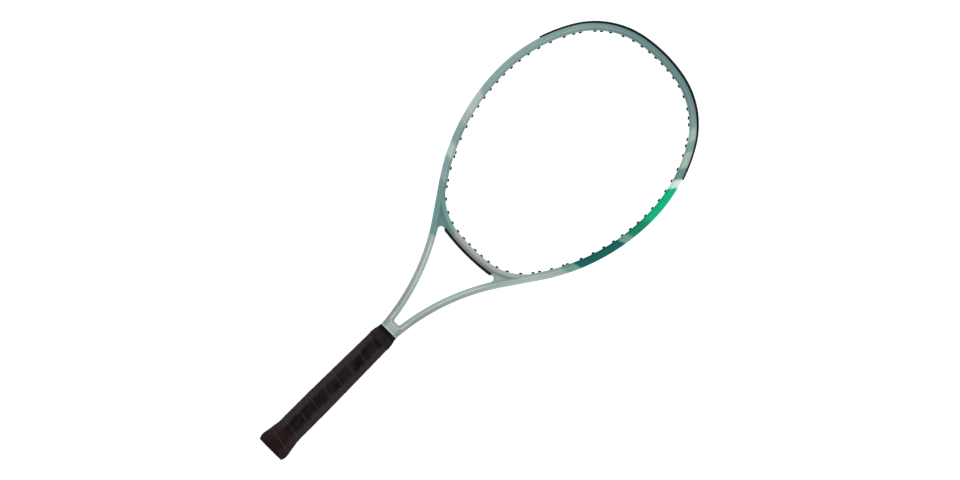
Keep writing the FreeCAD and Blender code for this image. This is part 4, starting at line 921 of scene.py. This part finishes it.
def paint_bridge():
    """Lacquer of the bridge: teal on the left, sage on the rest, painted shade on the throat side
    of its right end, painted highlight and shade on its facets, and the hoop's colour and painted
    highlight and shade at its ends.
    """
    made, tree = new_material("lacquer_bridge")
    run = tree.value("station")
    across = tree.value("across")
    x = tree.along()
    at_hoop = tree.between(x, HOOP_TINT_FROM, HOOP_TINT_TO)
    wobble = edge_wobble(tree, BRIDGE_WOBBLE)
    leaned = tree.math("ADD", run, tree.math("MULTIPLY", across, -SLANT))
    left = tree.between(tree.math("ADD", leaned, wobble), *TEAL_EDGE)
    base = tree.mix(left, tree.mix(at_hoop, BRIDGE_SAGE, SAGE), TEAL_DEEP)
    far_right = tree.between(run, *SHADED_EDGE)
    shaded = tree.math("MULTIPLY", far_right, tree.between(across, 0.5, 0.2, 0.0, 0.5))
    base = tree.mix(shaded, base, TEAL_DEEP)
    tint = tree.mix(at_hoop, painted_light_ramp(tree, across, BRIDGE_FACET_LIGHT),
                    painted_light_ramp(tree, across, HEAD_FACET_LIGHT))
    base = tree.with_painted_light(base, tint)
    finish_paint(tree, base)
    return made


def paint_rim():
    """Lacquer of the raised rim round the apex: a painted highlight on the ridge and painted shade
    on its inside.
    """
    made, tree = new_material("lacquer_rim")
    tint = painted_light_ramp(tree, tree.value("across"), RIM_FACET_LIGHT)
    finish_paint(tree, tree.with_painted_light(ARM_SAGE, tint))
    return made


def paint_web(name, tint):
    """Lacquer of a web in a darker colour, with painted shade that deepens into the fold between
    the two tubes.
    """
    made, tree = new_material(name)
    fold = painted_light_ramp(tree, tree.value("across"), WEB_FOLD_SHADE)
    finish_paint(tree, tree.with_painted_light(tint, fold))
    return made


def paint_shaft():
    """Lacquer of the shaft: plain, with the pale line next to the tape."""
    made, tree = new_material("lacquer_shaft")
    finish_paint(tree, tree.mix(tape_line(tree), SHAFT_SAGE, SILVER))
    return made


def moulded_plastic(name, tint, roughness):
    """Moulded nylon or plastic with a fine spark-eroded grain."""
    made, tree = new_material(name)
    speck = tree.between(tree.noise(1400.0, detail=3.0), 0.3, 0.7, 0.85, 1.15)
    base = tree.shaded(tint, speck)
    uneven = tree.noise(420.0, detail=2.0)
    rough = tree.between(uneven, 0.3, 0.7, roughness * 0.85, roughness * 1.15)
    grain = tree.bump(tree.noise(1800.0, detail=2.0), strength=0.25, distance=0.0001)
    tree.finish(tree.add("BsdfPrincipled", Base_Color=base, Roughness=rough,
                         Specular_IOR_Level=0.1, Normal=grain))
    return made


# The flats that face up and down are darker and the sides and bevels lighter: painted shade and
# painted light.
GRIP_SHADED_FLAT = colour(12, 9, 11)
GRIP_LIT_SIDE = colour(50, 42, 46)
GRIP_LAP = colour(56, 47, 52)
GRIP_BUTT = colour(40, 20, 20)
MOTTLE_DARK = colour(34, 28, 31)
MOTTLE_PALE = colour(66, 55, 60)
BUTT_TINT_FROM = 42 * MM        # stations between which the grip turns browner
BUTT_TINT_TO = 8 * MM
TAPE_BLACK = colour(22, 16, 20)
TAPE_FADED = colour(46, 37, 43)
TAPE_END = colour(9, 7, 9)
TAPE_TURN = 5.6 * MM            # spacing of the tape's creases
TAPE_END_FROM = TAPE_BOX[1].x - 8 * MM
TAPE_END_TO = TAPE_BOX[1].x - 4 * MM
STEEL = colour(170, 172, 174)
CELL_GREY = colour(60, 60, 58)
NYLON_BLACK = colour(14, 14, 15)
GUARD_BLACK = colour(9, 9, 10)
CAP_BLACK = colour(16, 10, 10)
PLATE_GREY = colour(44, 42, 44)
CORE_CREAM = colour(219, 212, 184)
PALLET_GREY = colour(38, 38, 38)
TAPE_CREAM = colour(204, 199, 178)
RUBBER_GREY = colour(64, 64, 69)


def grip_leather():
    """Dark synthetic grip: painted shade on the flats that face up and down, painted light on the
    mottled sides and bevels, soft laps and a browner butt.
    """
    made, tree = new_material("grip_wrap")
    turn = tree.value("turn")
    x = tree.along()
    # Painted shade: the flats that face up and down take the dark colour, in patches; the sides and
    # bevels take the lighter one.
    half_turn = tree.math("FRACT", tree.math("MULTIPLY", tree.value("round"), 2.0))
    off_flat = tree.math("ABSOLUTE", tree.math("SUBTRACT", half_turn, 0.5))
    ragged = tree.between(tree.noise(120.0, detail=4.0, roughness=0.65), 0.3, 0.7, -0.035, 0.035)
    level = tree.between(tree.math("ADD", off_flat, ragged), 0.19, 0.12)
    patchy = tree.between(tree.noise(55.0, detail=4.0, roughness=0.6), 0.35, 0.65, 0.6, 1.0)
    mottle = tree.between(tree.noise(260.0, detail=5.0, roughness=0.75), 0.35, 0.65, 0.0, 1.0)
    side = tree.mix(mottle, MOTTLE_DARK, MOTTLE_PALE)
    side = tree.mix(0.5, side, GRIP_LIT_SIDE)
    base = tree.mix(tree.math("MULTIPLY", level, patchy), side, GRIP_SHADED_FLAT)
    base = tree.mix(tree.between(x, BUTT_TINT_FROM, BUTT_TINT_TO, 0.0, 0.7), base, GRIP_BUTT)
    waver = tree.between(tree.noise(90.0, detail=3.0), 0.3, 0.7, -0.03, 0.03)
    lap = tree.between(tree.math("ADD", turn, waver), 0.0, 0.14, 0.75, 0.0)
    base = tree.mix(lap, base, GRIP_LAP)
    pores = tree.add("TexVoronoi", {"feature": "DISTANCE_TO_EDGE"}, Vector=tree.place(),
                     Scale=900.0).outputs["Distance"]
    uneven = tree.noise(350.0, detail=4.0, roughness=0.6)
    height = tree.math("ADD", tree.math("MULTIPLY", pores, 1.2), uneven)
    relief = tree.bump(height, strength=0.35, distance=0.0004)
    tree.finish(tree.add("BsdfPrincipled", Base_Color=base, Roughness=0.85, Specular_IOR_Level=0.06,
                         Normal=relief))
    return made


def vinyl_tape():
    """Smooth black tape with faint wrinkles along its turns."""
    made, tree = new_material("finishing_tape_vinyl")
    x = tree.along()
    waves = tree.math("SINE", tree.math("MULTIPLY", x, 2 * math.pi / TAPE_TURN))
    uneven = tree.noise(260.0, detail=4.0, roughness=0.6)
    creases = tree.math("ADD", tree.math("MULTIPLY", waves, 0.4), uneven)
    faded = tree.between(tree.noise(90.0, detail=4.0, roughness=0.6), 0.35, 0.7, 0.0, 1.0)
    base = tree.mix(faded, TAPE_BLACK, TAPE_FADED)
    base = tree.mix(tree.between(x, TAPE_END_FROM, TAPE_END_TO), base, TAPE_END)
    tree.finish(tree.add("BsdfPrincipled", Base_Color=base, Roughness=0.6, Specular_IOR_Level=0.06,
                         Normal=tree.bump(creases, strength=0.35, distance=0.0005)))
    return made


def brushed_steel():
    """Bright wire with fine scratches."""
    made, tree = new_material("staple_steel")
    scratches = tree.between(tree.noise(900.0, detail=3.0), 0.3, 0.7, 0.28, 0.42)
    tree.finish(tree.add("BsdfPrincipled", Base_Color=STEEL, Metallic=1.0, Roughness=scratches))
    return made


def foam(name, tint):
    """Closed-cell foam or rubber that only shows inside the handle."""
    made, tree = new_material(name)
    cells = tree.add("TexVoronoi", Vector=tree.place(), Scale=1200.0).outputs["Distance"]
    base = tree.mix(tree.between(cells, 0.0, 0.6, 0.0, 0.3), tint, CELL_GREY)
    tree.finish(tree.add("BsdfPrincipled", Base_Color=base, Roughness=0.85,
                         Normal=tree.bump(cells, strength=0.4, distance=0.0003)))
    return made


def dress(made, material):
    """Give a piece or a CAD node one material."""
    made.data.materials.clear()
    made.data.materials.append(material)


def dress_everything():
    """Make every piece and give it, or the CAD node that it leaves in place, a material."""
    dress(make_tube(), paint_hoop())
    dress(make_bridge(), paint_bridge())
    dress(make_shaft_panel(), paint_shaft())
    dress(make_apex_rim(), paint_rim())
    left_web, right_web = make_corner_webs()
    dress(left_web, paint_web("lacquer_web_left", WEB_SHADED_TEAL))
    dress(right_web, paint_web("lacquer_web_right", WEB_SHADED_SAGE))
    dress(make_grip(), grip_leather())
    nylon = moulded_plastic("grommet_nylon", NYLON_BLACK, 0.5)
    guard = moulded_plastic("guard_nylon", GUARD_BLACK, 0.5)
    dress(make_guard_lips(), guard)
    dress(make_throat_lips(), nylon)
    cap = moulded_plastic("cap_plastic", CAP_BLACK, 0.7)
    core_foam = foam("core_foam", CORE_CREAM)
    pallet_foam = foam("pallet_foam", PALLET_GREY)
    tape = foam("bonding_tape", TAPE_CREAM)
    plate = moulded_plastic("plate_plastic", PLATE_GREY, 0.38)
    coats = {
        "bumper_guard": guard,
        "grommet_strip_left": nylon, "grommet_strip_right": nylon,
        "grommet_strip_throat": nylon,
        "butt_cap": cap, "butt_cap_plate": plate,
        "butt_cap_staples": brushed_steel(), "grip_tack": brushed_steel(),
        "finishing_tape": vinyl_tape(),
        "throat_bridge_core": core_foam, "leg_plug_left": core_foam, "leg_plug_right": core_foam,
        "handle_pallet_upper": pallet_foam, "handle_pallet_lower": pallet_foam,
        "pallet_tape_upper": tape, "pallet_tape_lower": tape,
        "balance_weight": foam("balance_rubber", RUBBER_GREY),
    }
    for node, material in coats.items():
        dress(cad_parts[node], material)


# ---------------------------------------------------------------- floor, light, camera

FLOOR_GAP = 0.4 * MM
VIEW_CENTRE = Vector((363.1 * MM, -0.2 * MM))
CAMERA_HEIGHT = 9.81
LENS = 300.0
SENSOR = 36.0
VIEW_TURN = math.radians(-45)
FLOOR_HALF = 6.0
FLOOR_GREY = (0.8, 0.8, 0.8, 1.0)
FLOOR_GLOW = 0.6
WHITE = (1.0, 1.0, 1.0, 1.0)
HORIZON = (0.1, 0.30)       # height on the surround's sphere, and its strength there
OVERHEAD = (0.95, 0.85)


def seen_directly(tree):
    """1 for rays from the camera, a reflection or a clear piece, and 0 for all other light."""
    path = tree.add("LightPath").outputs
    seen = tree.math("MAXIMUM", path["Is Camera Ray"], path["Is Glossy Ray"])
    return tree.math("MAXIMUM", seen, path["Is Transmission Ray"])


def make_floor():
    """Pale floor that the handle lies on."""
    level = CAD_BOX[0].z - FLOOR_GAP
    mesh = bpy.data.meshes.new("floor")
    corners = [(VIEW_CENTRE.x + x * FLOOR_HALF, y * FLOOR_HALF, level)
               for x, y in ((-1, -1), (1, -1), (1, 1), (-1, 1))]
    mesh.from_pydata(corners, [], [(0, 1, 2, 3)])
    floor = bpy.data.objects.new("floor", mesh)
    bpy.context.scene.collection.objects.link(floor)
    made, tree = new_material("floor_white")
    lit = tree.add("BsdfDiffuse", Color=FLOOR_GREY)
    glow = tree.add("Emission", Color=WHITE, Strength=FLOOR_GLOW)
    both = tree.add("AddShader", i0=lit.outputs[0], i1=glow.outputs[0])
    tree.finish(tree.add("MixShader", i0=seen_directly(tree), i1=lit.outputs[0],
                         i2=both.outputs[0]))
    dress(floor, made)


def make_world():
    """Studio surround: brighter overhead than at the horizon, and white where it's seen."""
    world = bpy.data.worlds.new("studio")
    world.use_nodes = True
    bpy.context.scene.world = world
    tree = Tree(world, "OutputWorld")
    up = tree.add("SeparateXYZ", Vector=tree.add("TexCoord").outputs["Generated"]).outputs["Z"]
    (low, faint), (high, bright) = HORIZON, OVERHEAD
    around = tree.add("Background", Strength=tree.between(up, low, high, faint, bright))
    white = tree.add("Background", Color=WHITE, Strength=1.0)
    tree.finish(tree.add("MixShader", i0=seen_directly(tree), i1=around.outputs[0],
                         i2=white.outputs[0]))


# Name, place across the racket, height, size along and across, power.
PANELS = (
    ("overhead", 0.0, 4.0, 1.6, 1.6, 42.0),
    ("side_left", 3.0, 1.6, 3.0, 1.6, 28.0),
    ("side_right", -3.0, 1.6, 3.0, 1.6, 28.0),
)


def add_panel(name, across, height, width, depth, power):
    """Soft light panel that the camera doesn't see, aimed at the racket's middle."""
    light = bpy.data.lights.new(name, "AREA")
    light.shape = "RECTANGLE"
    light.size, light.size_y = width, depth
    light.energy = power
    lamp = bpy.data.objects.new(name, light)
    place = Vector((VIEW_CENTRE.x, across, height))
    lamp.location = place
    aim = Vector((VIEW_CENTRE.x, 0, 0)) - place
    lamp.rotation_euler = aim.to_track_quat("-Z", "Y").to_euler()
    lamp.visible_camera = False
    bpy.context.scene.collection.objects.link(lamp)


def make_camera():
    """Long lens straight above, turned so that the racket lies as in the photo."""
    data = bpy.data.cameras.new("camera")
    data.lens = LENS
    data.sensor_width = SENSOR
    data.clip_end = 100.0
    camera = bpy.data.objects.new("camera", data)
    camera.location = (VIEW_CENTRE.x, VIEW_CENTRE.y, CAMERA_HEIGHT)
    camera.rotation_euler = (0.0, 0.0, VIEW_TURN)
    bpy.context.scene.collection.objects.link(camera)
    bpy.context.scene.camera = camera


dress_everything()
make_floor()
make_world()
for panel in PANELS:
    add_panel(*panel)
make_camera()
scene = bpy.context.scene
scene.view_settings.view_transform = "Standard"
